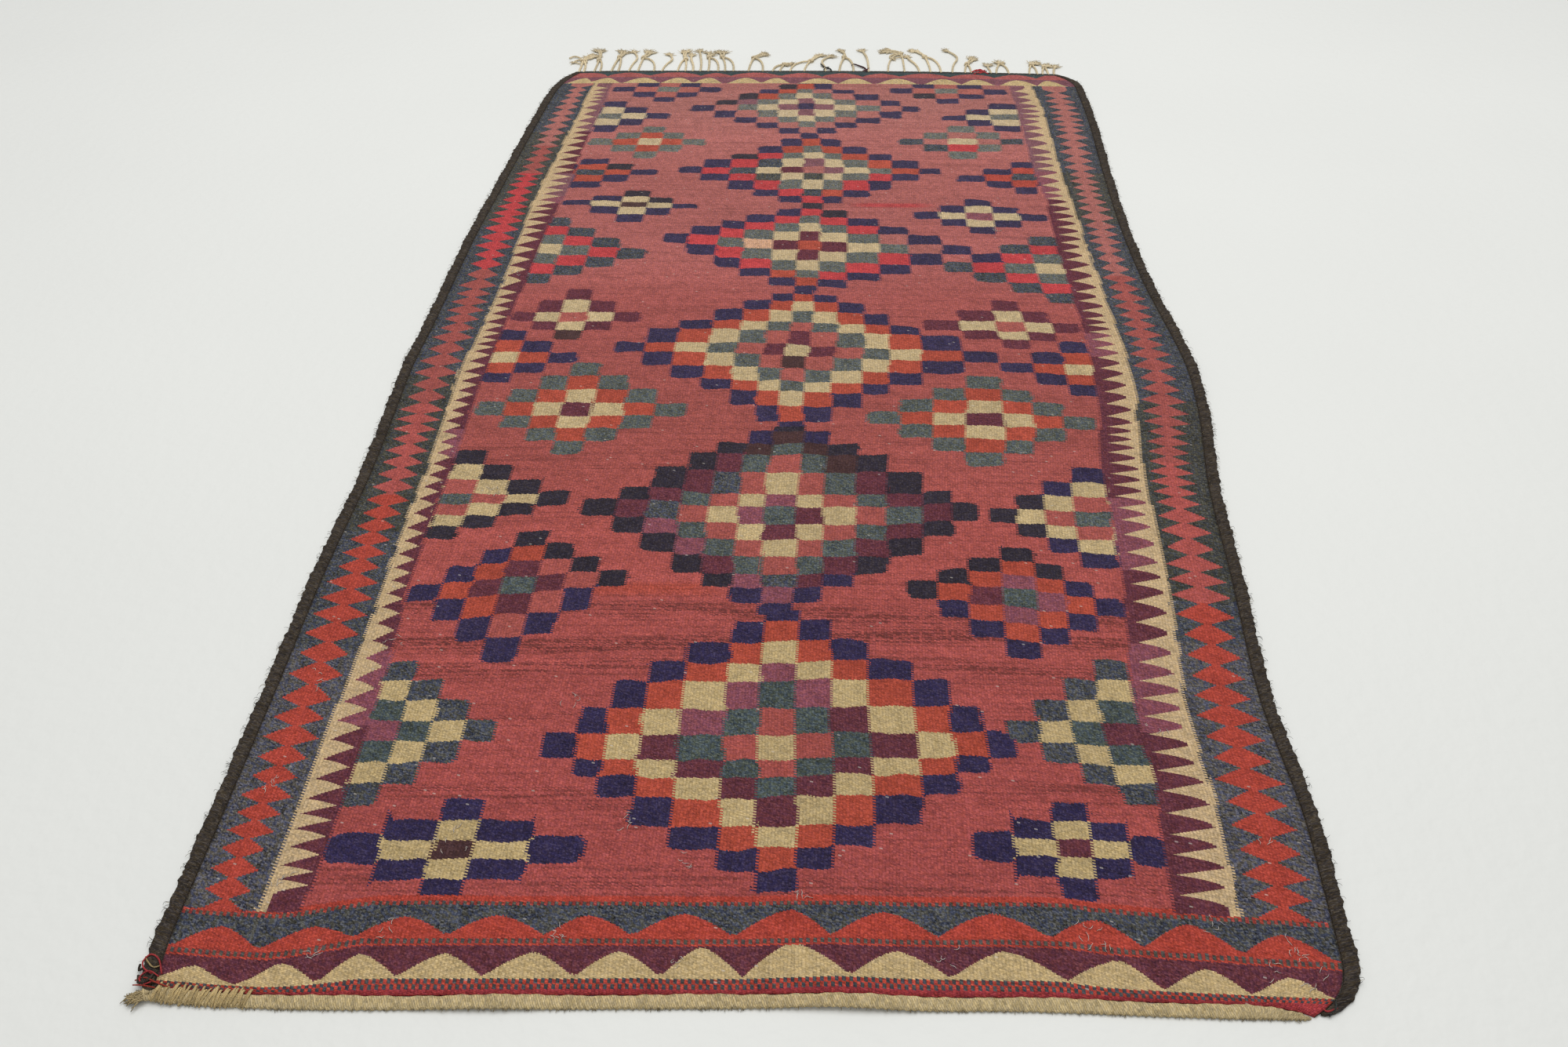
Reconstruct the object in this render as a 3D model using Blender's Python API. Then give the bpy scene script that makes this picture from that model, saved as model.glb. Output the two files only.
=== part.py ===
"""A flat-woven kilim rug lying on the floor: the cloth, its two bound sides, the plaited near end and the knotted
warp fringe at the far end. Metres, +Z up, X across the rug, Y along it, origin under the middle of the whole rug.

Every piece is laid out in weave coordinates, u across from the middle and v along from the near end, and put in
place by weave_point(), which holds the crooked outline that the rug has taken."""

import math

import bmesh
import bpy
import numpy as np
from mathutils import Matrix

# Sizes of the rug.
WIDTH = 1.550           # nominal width over the bound sides
LENGTH = 2.915          # from the plaited end to the edge that the fringe leaves
CLOTH_THICKNESS = 0.003
SIDE_CORD_WIDTH = 0.020
SIDE_CORD_HEIGHT = 0.0055
END_BAND_DEPTH = 0.0175
END_BAND_HEIGHT = 0.006
END_BAND_TAPER = 0.150  # length over which the band thins out at its right-hand end
END_BAND_THINNING = 0.78    # share of its depth that is gone there
TUFT_REACH = 0.018      # how far the frayed end of the band passes the left side
TUFT_DROOP = 0.012      # how far its point swings towards the viewer
TUFT_SECTIONS = (
    # share of the reach, share of the band's depth, share of the band's height
    (0.35, 0.80, 0.88),
    (0.75, 0.45, 0.67),
    (1.00, 0.12, 0.47),
)
EDGE_STRIP_DEPTH = 0.007
EDGE_STRIP_HEIGHT = 0.003
PIECE_GAP = 0.0005

# The outline. v is measured from the near end, x from the middle of the rug.
SIDES = (
    # v, x of the left side, x of the right side
    (0.000, -0.746, 0.735),
    (0.080, -0.757, 0.741),
    (0.180, -0.761, 0.747),
    (0.300, -0.765, 0.752),
    (0.500, -0.772, 0.743),
    (0.750, -0.783, 0.759),
    (1.000, -0.785, 0.773),
    (1.200, -0.796, 0.799),
    (1.350, -0.805, 0.807),
    (1.500, -0.804, 0.800),
    (1.700, -0.805, 0.780),
    (1.950, -0.803, 0.769),
    (2.250, -0.797, 0.770),
    (2.550, -0.788, 0.777),
    (2.750, -0.779, 0.775),
    (2.915, -0.766, 0.768),
)
ENDS = (
    # u, y of the near end, y of the far end
    (-0.775, -1.572, 1.341),
    (-0.600, -1.574, 1.353),
    (-0.400, -1.566, 1.363),
    (-0.200, -1.556, 1.372),
    (0.000, -1.546, 1.381),
    (0.100, -1.541, 1.384),
    (0.200, -1.540, 1.387),
    (0.350, -1.534, 1.390),
    (0.550, -1.532, 1.390),
    (0.775, -1.528, 1.389),
)
CORNERS = (
    # side (-1 left, 1 right), v of the end, how far the corner is drawn in, length of side that bends
    (-1, LENGTH, 0.041, 0.200),
    (1, LENGTH, 0.060, 0.120),
    (1, 0.0, 0.055, 0.090),
)
CORNER_RIGID = 0.022    # outermost width that moves in whole, and the width over which the rest is squeezed
CORNER_SQUEEZE = 0.140

# Soft rises where the rug doesn't lie quite flat.
RIPPLES = (
    # x, y, direction of the crest in degrees from +X, half length, half width, height
    (0.110, -1.540, 90, 0.150, 0.130, 0.0040),
    (-0.330, -1.560, 90, 0.120, 0.110, 0.0025),
    (-0.760, -1.575, 45, 0.090, 0.090, 0.0035),
    (-0.170, -0.150, 12, 0.340, 0.110, 0.0045),
    (0.740, -0.200, 60, 0.260, 0.120, 0.0060),
    (-0.790, 0.330, 95, 0.280, 0.100, 0.0040),
    (0.250, 0.640, 170, 0.300, 0.120, 0.0035),
)

# The fringe: knotted pairs of warp bundles, and single ones. x from the middle of the rug, reach from its edge.
FRINGE_LOCKS = (
    # root x, root x of the mate (None for a single), knot or bend x, its reach, tip x, its reach, all in mm
    (-717, -703, -719, 84, -700, 126),
    (-672, -655, -671, 88, -686, 168),
    (-621, -601, -612, 108, -614, 158),
    (-569, None, -559, 78, -576, 156),
    (-542, -494, -538, 104, -532, 156),
    (-470, None, -453, 74, -465, 136),
    (-400, -423, -408, 91, -412, 156),
    (-377, None, -388, 76, -393, 128),
    (-355, None, -360, 80, -373, 164),
    (-331, -302, -338, 106, -343, 146),
    (-281, -256, -298, 110, -311, 152),
    (-211, -168, -201, 103, -178, 138),
    (-117, -138, -106, 50, -82, 60),
    (-44, -86, -27, 78, 4, 128),
    (20, None, 10, 56, 30, 118),
    (61, 104, 75, 108, 61, 172),
    (149, None, 145, 96, 129, 168),
    (256, 207, 250, 140, 208, 174),
    (301, None, 280, 82, 266, 124),
    (334, 365, 321, 118, 285, 172),
    (399, None, 416, 92, 390, 174),
    (437, 455, 446, 64, 461, 116),
    (514, None, 509, 36, 508, 60),
    (530, 567, 545, 72, 541, 88),
    (628, 652, 640, 68, 648, 86),
    (667, 684, 677, 52, 682, 68),
    (701, None, 705, 40, 712, 64),
)
STRAND_WIDTH = 0.0050
STRAND_HEIGHT = 0.0040
KNOT_WIDTH = 0.0110
KNOT_HEIGHT = 0.0080
TIP_WIDTH = 0.0050
TIP_HEIGHT = 0.0025
STRAND_CROWN = 0.62     # width of a strand's top as a share of its foot
MATE_GAP = 0.0028       # from a knot to the end of the strand beside it

# How finely the shapes are divided.
CLOTH_COLUMNS = 27
CLOTH_ROWS = 48
END_ROWS = (0.0, 0.018, 0.040, 0.068, 0.105)    # lines close to each end, for the round corners
STRAND_STEPS_TO_KNOT = 4
STRAND_STEPS_TO_TIP = 3

# Half of a cord's section, flat below and round above: share of the width, share of the height.
CORD_SECTION = (
    (0.14, 0.00), (0.86, 0.00), (1.00, 0.36), (0.90, 0.80),
    (0.64, 1.00), (0.36, 1.00), (0.10, 0.80), (0.00, 0.36),
)


def smooth_table(rows, column, at):
    """Value of one column of a table at a place along its first column, through a smooth curve."""
    keys = [row[0] for row in rows]
    values = [row[column] for row in rows]
    at = min(max(at, keys[0]), keys[-1])
    i = min(max(int(np.searchsorted(keys, at)) - 1, 0), len(keys) - 2)
    slopes = []
    for k in (i, i + 1):
        low, high = max(k - 1, 0), min(k + 1, len(keys) - 1)
        slopes.append((values[high] - values[low]) / (keys[high] - keys[low]))
    step = keys[i + 1] - keys[i]
    t = (at - keys[i]) / step
    return (
        values[i] * (2 * t**3 - 3 * t**2 + 1)
        + slopes[0] * step * (t**3 - 2 * t**2 + t)
        + values[i + 1] * (3 * t**2 - 2 * t**3)
        + slopes[1] * step * (t**3 - t**2)
    )


def corner_shift(u, v):
    """How far the round corners draw a place inwards, along x."""
    shift = 0.0
    for side, end, inset, reach in CORNERS:
        along = abs(v - end)
        inside = WIDTH / 2 - side * u
        if along < reach and inside < CORNER_RIGID + CORNER_SQUEEZE:
            share = min(1.0, (CORNER_RIGID + CORNER_SQUEEZE - inside) / CORNER_SQUEEZE)
            shift -= side * inset * (1 - along / reach) ** 3 * share
    return shift


def weave_point(u, v):
    """Place on the floor of the weave coordinates (u, v)."""
    left = smooth_table(SIDES, 1, v)
    right = smooth_table(SIDES, 2, v)
    near = smooth_table(ENDS, 1, u)
    far = smooth_table(ENDS, 2, u)
    x = left + (right - left) * (u / WIDTH + 0.5) + corner_shift(u, v)
    return x, near + (far - near) * v / LENGTH


def lift(x, y):
    """Height of the rug's underside over the floor."""
    height = 0.0
    for cx, cy, turn, half_length, half_width, rise in RIPPLES:
        angle = math.radians(turn)
        along = ((x - cx) * math.cos(angle) + (y - cy) * math.sin(angle)) / half_length
        across = (-(x - cx) * math.sin(angle) + (y - cy) * math.cos(angle)) / half_width
        if abs(along) < 1 and abs(across) < 1:
            height += rise * math.cos(along * math.pi / 2) ** 2 * math.cos(across * math.pi / 2) ** 2
    return height


def on_rug(u, v, z):
    x, y = weave_point(u, v)
    return x, y, lift(x, y) + z


def band_depth(u):
    """Depth of the plaited end, which thins out towards the right."""
    left_of_taper = WIDTH / 2 - SIDE_CORD_WIDTH - END_BAND_TAPER
    t = min(max((u - left_of_taper) / END_BAND_TAPER, 0.0), 1.0)
    return END_BAND_DEPTH * (1 - END_BAND_THINNING * t * t)


def add_object(name, mesh_builder, colour, roughness):
    """Makes one object from a bmesh, with faces pointing out and a material of its own."""
    bmesh.ops.recalc_face_normals(mesh_builder, faces=mesh_builder.faces)
    mesh = bpy.data.meshes.new(name)
    mesh_builder.to_mesh(mesh)
    mesh_builder.free()
    mesh.shade_smooth()
    mesh.set_sharp_from_angle(angle=math.radians(50))
    material = bpy.data.materials.new(name)
    material.use_nodes = True
    shader = material.node_tree.nodes["Principled BSDF"]
    shader.inputs["Base Color"].default_value = (*colour, 1.0)
    shader.inputs["Roughness"].default_value = roughness
    shader.inputs["Metallic"].default_value = 0.0
    mesh.materials.append(material)
    made = bpy.data.objects.new(name, mesh)
    bpy.context.scene.collection.objects.link(made)
    return made


def join_rings(builder, rings):
    """Skins a row of closed rings of vertices and caps both ends."""
    for first, second in zip(rings, rings[1:]):
        count = len(first)
        for k in range(count):
            builder.faces.new((first[k], first[(k + 1) % count], second[(k + 1) % count], second[k]))
    builder.faces.new(rings[0][::-1])
    builder.faces.new(rings[-1])


def column_places():
    """The u of each line of the cloth's grid, which the plaited end shares."""
    half = WIDTH / 2 - SIDE_CORD_WIDTH - PIECE_GAP
    return [half * (2 * column / CLOTH_COLUMNS - 1) for column in range(CLOTH_COLUMNS + 1)]


def row_places(u):
    """The v of each line of the cloth's grid at u, which the bound sides share."""
    start = band_depth(u) + PIECE_GAP
    end = LENGTH - EDGE_STRIP_DEPTH - PIECE_GAP
    first, last = start + END_ROWS[-1], end - END_ROWS[-1]
    near = [start + step for step in END_ROWS[:-1]]
    middle = [first + (last - first) * row / CLOTH_ROWS for row in range(CLOTH_ROWS + 1)]
    far = [end - step for step in END_ROWS[-2::-1]]
    return near + middle + far


def make_cloth():
    """The woven cloth between the bound sides, as a sheet that follows the ripples above and below."""
    builder = bmesh.new()
    columns = column_places()
    rows = list(zip(*(row_places(u) for u in columns)))
    under = [[builder.verts.new(on_rug(u, v, 0.0)) for u, v in zip(columns, row)] for row in rows]
    over = [[builder.verts.new(on_rug(u, v, CLOTH_THICKNESS)) for u, v in zip(columns, row)] for row in rows]
    last_row = len(rows) - 1
    for row in range(last_row):
        for column in range(CLOTH_COLUMNS):
            for layer in (under, over):
                builder.faces.new((layer[row][column], layer[row][column + 1],
                                   layer[row + 1][column + 1], layer[row + 1][column]))
    for column in range(CLOTH_COLUMNS):
        for row in (0, last_row):
            builder.faces.new((under[row][column], under[row][column + 1],
                               over[row][column + 1], over[row][column]))
    for row in range(last_row):
        for column in (0, CLOTH_COLUMNS):
            builder.faces.new((under[row][column], under[row + 1][column],
                               over[row + 1][column], over[row][column]))
    return add_object("kilim_cloth", builder, (0.42, 0.09, 0.09), 0.9)


def make_side_cord(name, side):
    """One bound side: a low round cord along the edge of the cloth."""
    outer = side * WIDTH / 2
    places = row_places(outer - side * (SIDE_CORD_WIDTH + PIECE_GAP))
    if side > 0:
        places.insert(0, 0.0)
    builder = bmesh.new()
    rings = []
    for v in places:
        rings.append([
            builder.verts.new(on_rug(outer - side * SIDE_CORD_WIDTH * across, v, SIDE_CORD_HEIGHT * up))
            for across, up in CORD_SECTION
        ])
    join_rings(builder, rings)
    return add_object(name, builder, (0.030, 0.018, 0.013), 0.85)


def make_end_band():
    """The plaited band at the near end, frayed to a tuft past the left side and thin at the right."""
    left = -WIDTH / 2
    builder = bmesh.new()
    rings = []
    for u in [left, *column_places()]:
        depth = band_depth(u)
        height = (END_BAND_HEIGHT + END_BAND_HEIGHT * depth / END_BAND_DEPTH) / 2
        rings.append([builder.verts.new(on_rug(u, depth * across, height * up)) for across, up in CORD_SECTION])
    x, y = weave_point(left, END_BAND_DEPTH * 0.4)
    for out, narrow, low in TUFT_SECTIONS:
        ring = []
        for across, up in CORD_SECTION:
            sideways = (across - 0.5) * END_BAND_DEPTH * narrow
            place = (x - TUFT_REACH * out, y - TUFT_DROOP * out * out + sideways)
            ring.append(builder.verts.new((*place, lift(*place) + END_BAND_HEIGHT * low * up)))
        rings.insert(0, ring)
    join_rings(builder, rings)
    return add_object("end_band_near", builder, (0.60, 0.47, 0.26), 0.9)


def bend_through(start, control, end, steps):
    """Points of a quadratic curve, without its first one."""
    points = []
    for step in range(1, steps + 1):
        t = step / steps
        points.append((1 - t) ** 2 * start + 2 * t * (1 - t) * control + t * t * end)
    return points


def main_strand(root, knot, tip, knotted):
    """Centre line, widths and heights of a strand that runs through its knot to its tip."""
    control = np.array((root[0] + 0.1 * (knot[0] - root[0]), root[1] + 0.62 * (knot[1] - root[1])))
    onward = (knot - control) / np.linalg.norm(knot - control)
    after = knot + onward * 0.4 * np.linalg.norm(tip - knot)
    points = bend_through(root, control, knot, STRAND_STEPS_TO_KNOT)
    points += bend_through(knot, after, tip, STRAND_STEPS_TO_TIP)
    middle = [KNOT_WIDTH if knotted else STRAND_WIDTH * 1.15]
    middle_height = [KNOT_HEIGHT if knotted else STRAND_HEIGHT]
    widths = [STRAND_WIDTH] * (STRAND_STEPS_TO_KNOT - 1) + middle
    widths += [STRAND_WIDTH * 1.5] * (STRAND_STEPS_TO_TIP - 1) + [TIP_WIDTH]
    heights = [STRAND_HEIGHT] * (STRAND_STEPS_TO_KNOT - 1) + middle_height
    heights += [STRAND_HEIGHT * 1.2] * (STRAND_STEPS_TO_TIP - 1) + [TIP_HEIGHT]
    return points, widths, heights


def mate_strand(root, knot):
    """Centre line, widths and heights of a strand that ends beside its neighbour's knot."""
    side = 1.0 if root[0] > knot[0] else -1.0
    end = knot + np.array((side * (KNOT_WIDTH / 2 + MATE_GAP), 0.0))
    control = np.array((root[0], knot[1] - 0.08 * (knot[1] - root[1])))
    points = bend_through(root, control, end, STRAND_STEPS_TO_KNOT + 1)
    widths = [STRAND_WIDTH] * len(points)
    heights = [STRAND_HEIGHT] * len(points)
    return points, widths, heights


def fringe_strands():
    """Every strand as (root, points, widths, heights), from left to right by its root."""
    strands = []
    for root_x, mate_x, knot_x, knot_reach, tip_x, tip_reach in FRINGE_LOCKS:
        def at(x, reach):
            return np.array((x / 1000, edge_y(x / 1000) + reach / 1000))
        root, knot, tip = at(root_x, 0), at(knot_x, knot_reach), at(tip_x, tip_reach)
        strands.append((root, *main_strand(root, knot, tip, mate_x is not None)))
        if mate_x is not None:
            mate_root = at(mate_x, 0)
            strands.append((mate_root, *mate_strand(mate_root, knot)))
    return sorted(strands, key=lambda strand: strand[0][0])


def edge_u(x):
    """Weave coordinate u of a place x on the far edge, found by bisection."""
    low, high = -WIDTH / 2, WIDTH / 2
    for _ in range(40):
        middle = (low + high) / 2
        if weave_point(middle, LENGTH)[0] < x:
            low = middle
        else:
            high = middle
    return (low + high) / 2


def edge_y(x):
    """How far along the rug its far edge lies at x."""
    return weave_point(edge_u(x), LENGTH)[1]


def strand_ring(builder, centre, heading, width, height):
    """Four vertices round a strand: flat on the floor, narrower above."""
    sideways = np.array((heading[1], -heading[0])) * width / 2
    left, right = centre - sideways, centre + sideways
    left_top, right_top = centre - sideways * STRAND_CROWN, centre + sideways * STRAND_CROWN
    return [
        builder.verts.new((*left, 0.0)),
        builder.verts.new((*right, 0.0)),
        builder.verts.new((*right_top, height)),
        builder.verts.new((*left_top, height)),
    ]


def make_fringe():
    """The last weft rows as a narrow strip along the far edge, with the strands growing from it."""
    strands = fringe_strands()
    stations = [(-WIDTH / 2, None), (WIDTH / 2, None)]
    for strand in strands:
        x = strand[0][0]
        stations.append((edge_u(x - STRAND_WIDTH / 2), strand))
        stations.append((edge_u(x + STRAND_WIDTH / 2), None))
    stations.sort(key=lambda station: station[0])
    builder = bmesh.new()
    rings = []
    for u, _ in stations:
        near_v = LENGTH - EDGE_STRIP_DEPTH
        corners = ((near_v, 0.0), (LENGTH, 0.0), (LENGTH, EDGE_STRIP_HEIGHT), (near_v, EDGE_STRIP_HEIGHT))
        rings.append([builder.verts.new(on_rug(u, v, z)) for v, z in corners])
    for (first, second), (_, strand) in zip(zip(rings, rings[1:]), stations):
        for k in (0, 2, 3):
            builder.faces.new((first[k], first[(k + 1) % 4], second[(k + 1) % 4], second[k]))
        if strand is None:
            builder.faces.new((first[1], first[2], second[2], second[1]))
            continue
        grow_strand(builder, [first[1], second[1], second[2], first[2]], strand)
    builder.faces.new(rings[0][::-1])
    builder.faces.new(rings[-1])
    return add_object("fringe_far", builder, (0.60, 0.50, 0.33), 0.9)


def grow_strand(builder, ring, strand):
    """Carries a four-cornered ring of vertices along a strand and closes its tip."""
    root, points, widths, heights = strand
    path = [root, *points]
    for i, (width, height) in enumerate(zip(widths, heights), 1):
        heading = path[min(i + 1, len(path) - 1)] - path[i - 1]
        heading = heading / np.linalg.norm(heading)
        following = strand_ring(builder, path[i], heading, width, height)
        for k in range(4):
            builder.faces.new((ring[k], ring[(k + 1) % 4], following[(k + 1) % 4], following[k]))
        ring = following
    builder.faces.new(ring)


def centre_on_origin(pieces):
    """Moves the pieces together, so that the origin is under the middle of the whole rug."""
    points = np.array([vertex.co for piece in pieces for vertex in piece.data.vertices])
    middle = (points.min(axis=0) + points.max(axis=0)) / 2
    for piece in pieces:
        piece.data.transform(Matrix.Translation((-middle[0], -middle[1], 0.0)))


def clear_scene():
    for old in list(bpy.data.objects):
        bpy.data.objects.remove(old, do_unlink=True)


def main():
    clear_scene()
    centre_on_origin([
        make_cloth(),
        make_side_cord("selvedge_left", -1),
        make_side_cord("selvedge_right", 1),
        make_end_band(),
        make_fringe(),
    ])


main()
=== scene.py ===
"""A worn, flat-woven wool kilim on a pale floor: checked lozenges on a red field, borders of rhombs and
spikes, goat-hair bound sides, a plaited near end and a knotted warp fringe at the far end.

It is laid out in weave coordinates, u across from the middle and v along from the near end, in metres.
on_floor() puts them in place. The tables that hold the pattern are in millimetres of the same coordinates."""

import math
import random

import bmesh
import bpy
import numpy as np
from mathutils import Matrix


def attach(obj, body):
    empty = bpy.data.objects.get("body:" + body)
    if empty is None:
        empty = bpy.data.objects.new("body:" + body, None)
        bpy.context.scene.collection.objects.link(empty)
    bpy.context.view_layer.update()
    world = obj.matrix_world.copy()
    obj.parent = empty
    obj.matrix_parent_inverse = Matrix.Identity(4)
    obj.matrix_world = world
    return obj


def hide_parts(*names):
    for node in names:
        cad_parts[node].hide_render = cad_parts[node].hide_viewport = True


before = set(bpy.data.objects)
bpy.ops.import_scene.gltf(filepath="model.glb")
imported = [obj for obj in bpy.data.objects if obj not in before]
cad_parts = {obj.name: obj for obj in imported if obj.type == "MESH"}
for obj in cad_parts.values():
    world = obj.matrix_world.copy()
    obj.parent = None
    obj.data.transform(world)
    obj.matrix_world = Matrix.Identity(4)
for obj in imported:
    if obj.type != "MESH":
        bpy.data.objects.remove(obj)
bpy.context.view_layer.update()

bl_info = {
    "name": "Kilim Rug",
    "version": (1, 0, 0),
    "blender": (4, 5, 0),
    "location": "3D View > Sidebar > Kilim",
    "description": "Weaves a worn kilim with bound sides, a plaited end and a knotted fringe",
    "category": "Add Mesh",
}

MM = 0.001

# --- The rug's layout, the same as in its construction ------------------------------------------------------

SIDES = (
    # v, x of the left side, x of the right side
    (0.000, -0.746, 0.735), (0.080, -0.757, 0.741), (0.180, -0.761, 0.747), (0.300, -0.765, 0.752),
    (0.500, -0.772, 0.743), (0.750, -0.783, 0.759), (1.000, -0.785, 0.773), (1.200, -0.796, 0.799),
    (1.350, -0.805, 0.807), (1.500, -0.804, 0.800), (1.700, -0.805, 0.780), (1.950, -0.803, 0.769),
    (2.250, -0.797, 0.770), (2.550, -0.788, 0.777), (2.750, -0.779, 0.775), (2.915, -0.766, 0.768),
)
ENDS = (
    # u, y of the near end, y of the far end
    (-0.775, -1.572, 1.341), (-0.600, -1.574, 1.353), (-0.400, -1.566, 1.363), (-0.200, -1.556, 1.372),
    (0.000, -1.546, 1.381), (0.100, -1.541, 1.384), (0.200, -1.540, 1.387), (0.350, -1.534, 1.390),
    (0.550, -1.532, 1.390), (0.775, -1.528, 1.389),
)
CORNERS = (
    # side, v of the end, how far the corner is drawn in, length of side that bends
    (-1, 2.915, 0.041, 0.200),
    (1, 2.915, 0.060, 0.120),
    (1, 0.0, 0.055, 0.090),
)
CORNER_RIGID = 0.022
CORNER_SQUEEZE = 0.140
RIPPLES = (
    # x, y, direction of the crest in degrees from +X, half length, half width, height
    (0.110, -1.540, 90, 0.150, 0.130, 0.0040),
    (-0.330, -1.560, 90, 0.120, 0.110, 0.0025),
    (-0.760, -1.575, 45, 0.090, 0.090, 0.0035),
    (-0.170, -0.150, 12, 0.340, 0.110, 0.0045),
    (0.740, -0.200, 60, 0.260, 0.120, 0.0060),
    (-0.790, 0.330, 95, 0.280, 0.100, 0.0040),
    (0.250, 0.640, 170, 0.300, 0.120, 0.0035),
)
FRINGE_LOCKS = (
    # root x, root x of the mate (None for a single), knot or bend x, its reach, tip x, its reach, in mm
    (-717, -703, -719, 84, -700, 126), (-672, -655, -671, 88, -686, 168), (-621, -601, -612, 108, -614, 158),
    (-569, None, -559, 78, -576, 156), (-542, -494, -538, 104, -532, 156), (-470, None, -453, 74, -465, 136),
    (-400, -423, -408, 91, -412, 156), (-377, None, -388, 76, -393, 128), (-355, None, -360, 80, -373, 164),
    (-331, -302, -338, 106, -343, 146), (-281, -256, -298, 110, -311, 152),
    (-211, -168, -201, 103, -178, 138), (-117, -138, -106, 50, -82, 60), (-44, -86, -27, 78, 4, 128),
    (20, None, 10, 56, 30, 118), (61, 104, 75, 108, 61, 172), (149, None, 145, 96, 129, 168),
    (256, 207, 250, 140, 208, 174), (301, None, 280, 82, 266, 124), (334, 365, 321, 118, 285, 172),
    (399, None, 416, 92, 390, 174), (437, 455, 446, 64, 461, 116), (514, None, 509, 36, 508, 60),
    (530, 567, 545, 72, 541, 88), (628, 652, 640, 68, 648, 86), (667, 684, 677, 52, 682, 68),
    (701, None, 705, 40, 712, 64),
)
FRINGE_LIMIT = 1.591    # y that no frayed end goes beyond
LAYOUT_MIDDLE = (0.0009, -0.0063)   # middle of the whole rug in the tables' x and y

# --- The pattern, read off the rug in millimetres of u and v ------------------------------------------------

BIG_LOZENGES = (
    # name, edges of its columns of checks in u at its middle row, edges of its rows in v at its middle
    # column, yarns of the rings from the middle outwards
    (
        "A", (-328, -277, -237, -186, -129, -61, -10, 45, 97, 156, 225, 280, 326, 370),
        (156, 189, 222, 255, 303, 337, 366, 411, 460, 513, 551, 593, 640, 679),
        "cream pink green aubergine cream orange navy",
    ),
    (
        "B", (-357, -295, -241, -182, -132, -81, -34, 24, 69, 127, 181, 245, 297, 342),
        (645, 680, 716, 747, 790, 833, 872, 920, 952, 1016, 1069, 1102, 1142, 1164),
        "green aubergine cream pink green aubergine black",
    ),
    (
        "C", (-370, -309, -249, -183, -125, -72, -28, 18, 71, 128, 179, 242, 322, 395),
        (1142, 1168, 1220, 1269, 1303, 1346, 1392, 1430, 1487, 1520, 1566, 1605, 1635, 1668),
        "cream aubergine pink green cream orange navy",
    ),
    (
        "D", (-320, -259, -190, -131, -62, -3, 46, 108, 182, 250, 324, 391),
        (1640, 1671, 1705, 1739, 1785, 1835, 1880, 1924, 1963, 2001, 2038, 2069),
        "orange aubergine cream green crimson navy",
    ),
    (
        "E", (-328, -267, -197, -129, -64, -8, 44, 92, 159, 217, 287, 344),
        (2040, 2070, 2107, 2143, 2195, 2234, 2270, 2320, 2353, 2397, 2442, 2475),
        "rose purple cream green crimson navy",
    ),
    (
        "F", (-347, -280, -218, -160, -102, -47, -1, 54, 115, 183, 243, 293),
        (2445, 2478, 2517, 2553, 2590, 2637, 2676, 2711, 2755, 2782, 2823, 2860),
        "navy purple cream green rose navy",
    ),
)
RISES = {
    # how much higher the rows of a big lozenge lie at u than at its middle column
    "A": ((-340, 7), (-150, 2), (0, 0), (150, 5), (340, 13)),
    "B": ((-325, 21), (-211, 17), (-157, 6), (-50, 0), (98, -3), (213, 3), (271, 11), (340, 12)),
    "C": ((-340, 15), (-150, 9), (0, 0), (150, -9), (340, -15)),
    "D": ((-290, 33), (-225, 27), (-160, 14), (-97, 8), (-32, 0), (21, 0), (77, -8), (216, -14), (360, -16)),
    "E": ((-300, 0), (-230, -4), (-97, -1), (17, 0), (68, -4), (188, -10), (315, -7)),
    "F": ((-313, -12), (-190, -8), (-74, -7), (-24, 0), (26, -4), (150, -9), (268, -11)),
}
SWAYS = {
    # how much further right the columns near the middle of a big lozenge lie at v than at its middle row
    "A": ((165, 7), (205, 5), (300, 0), (679, 0)),
    "B": ((660, 10), (730, 10), (812, 6), (896, 0), (985, -4), (1085, -3), (1155, -2)),
    "C": (
        (1150, 3), (1194, -5), (1250, -8), (1325, -8), (1369, -7), (1411, 0), (1458, 4), (1500, 8),
        (1600, 15), (1650, 17),
    ),
    "D": ((1650, -7), (1700, -6), (1760, -3), (1857, 0), (2050, 0)),
    "E": (
        (2055, 5), (2125, 4), (2168, 1), (2250, 0), (2295, -1), (2336, -5), (2375, -12), (2420, -17),
        (2458, -23),
    ),
    "F": ((2461, 19), (2497, 14), (2535, 8), (2571, 4), (2656, 0), (2693, -4), (2730, -11), (2840, -12)),
}
TALL_TIPS = {"L1": 0.63, "R1": 0.60, "L4": 0.68}    # height of the row by the height of its outermost checks
ROW_STEPPING = 0.75     # share of a row's rise that comes in steps from column to column, not as a slope
SWAY_REACH = 300        # how far from the middle column the sway dies out
SLOPE_REACH = 200       # how far to both sides of its middle a small lozenge slopes
CHECKS_REACH = 80       # how far past a lozenge the cloth still carries its checks' colours
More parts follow.
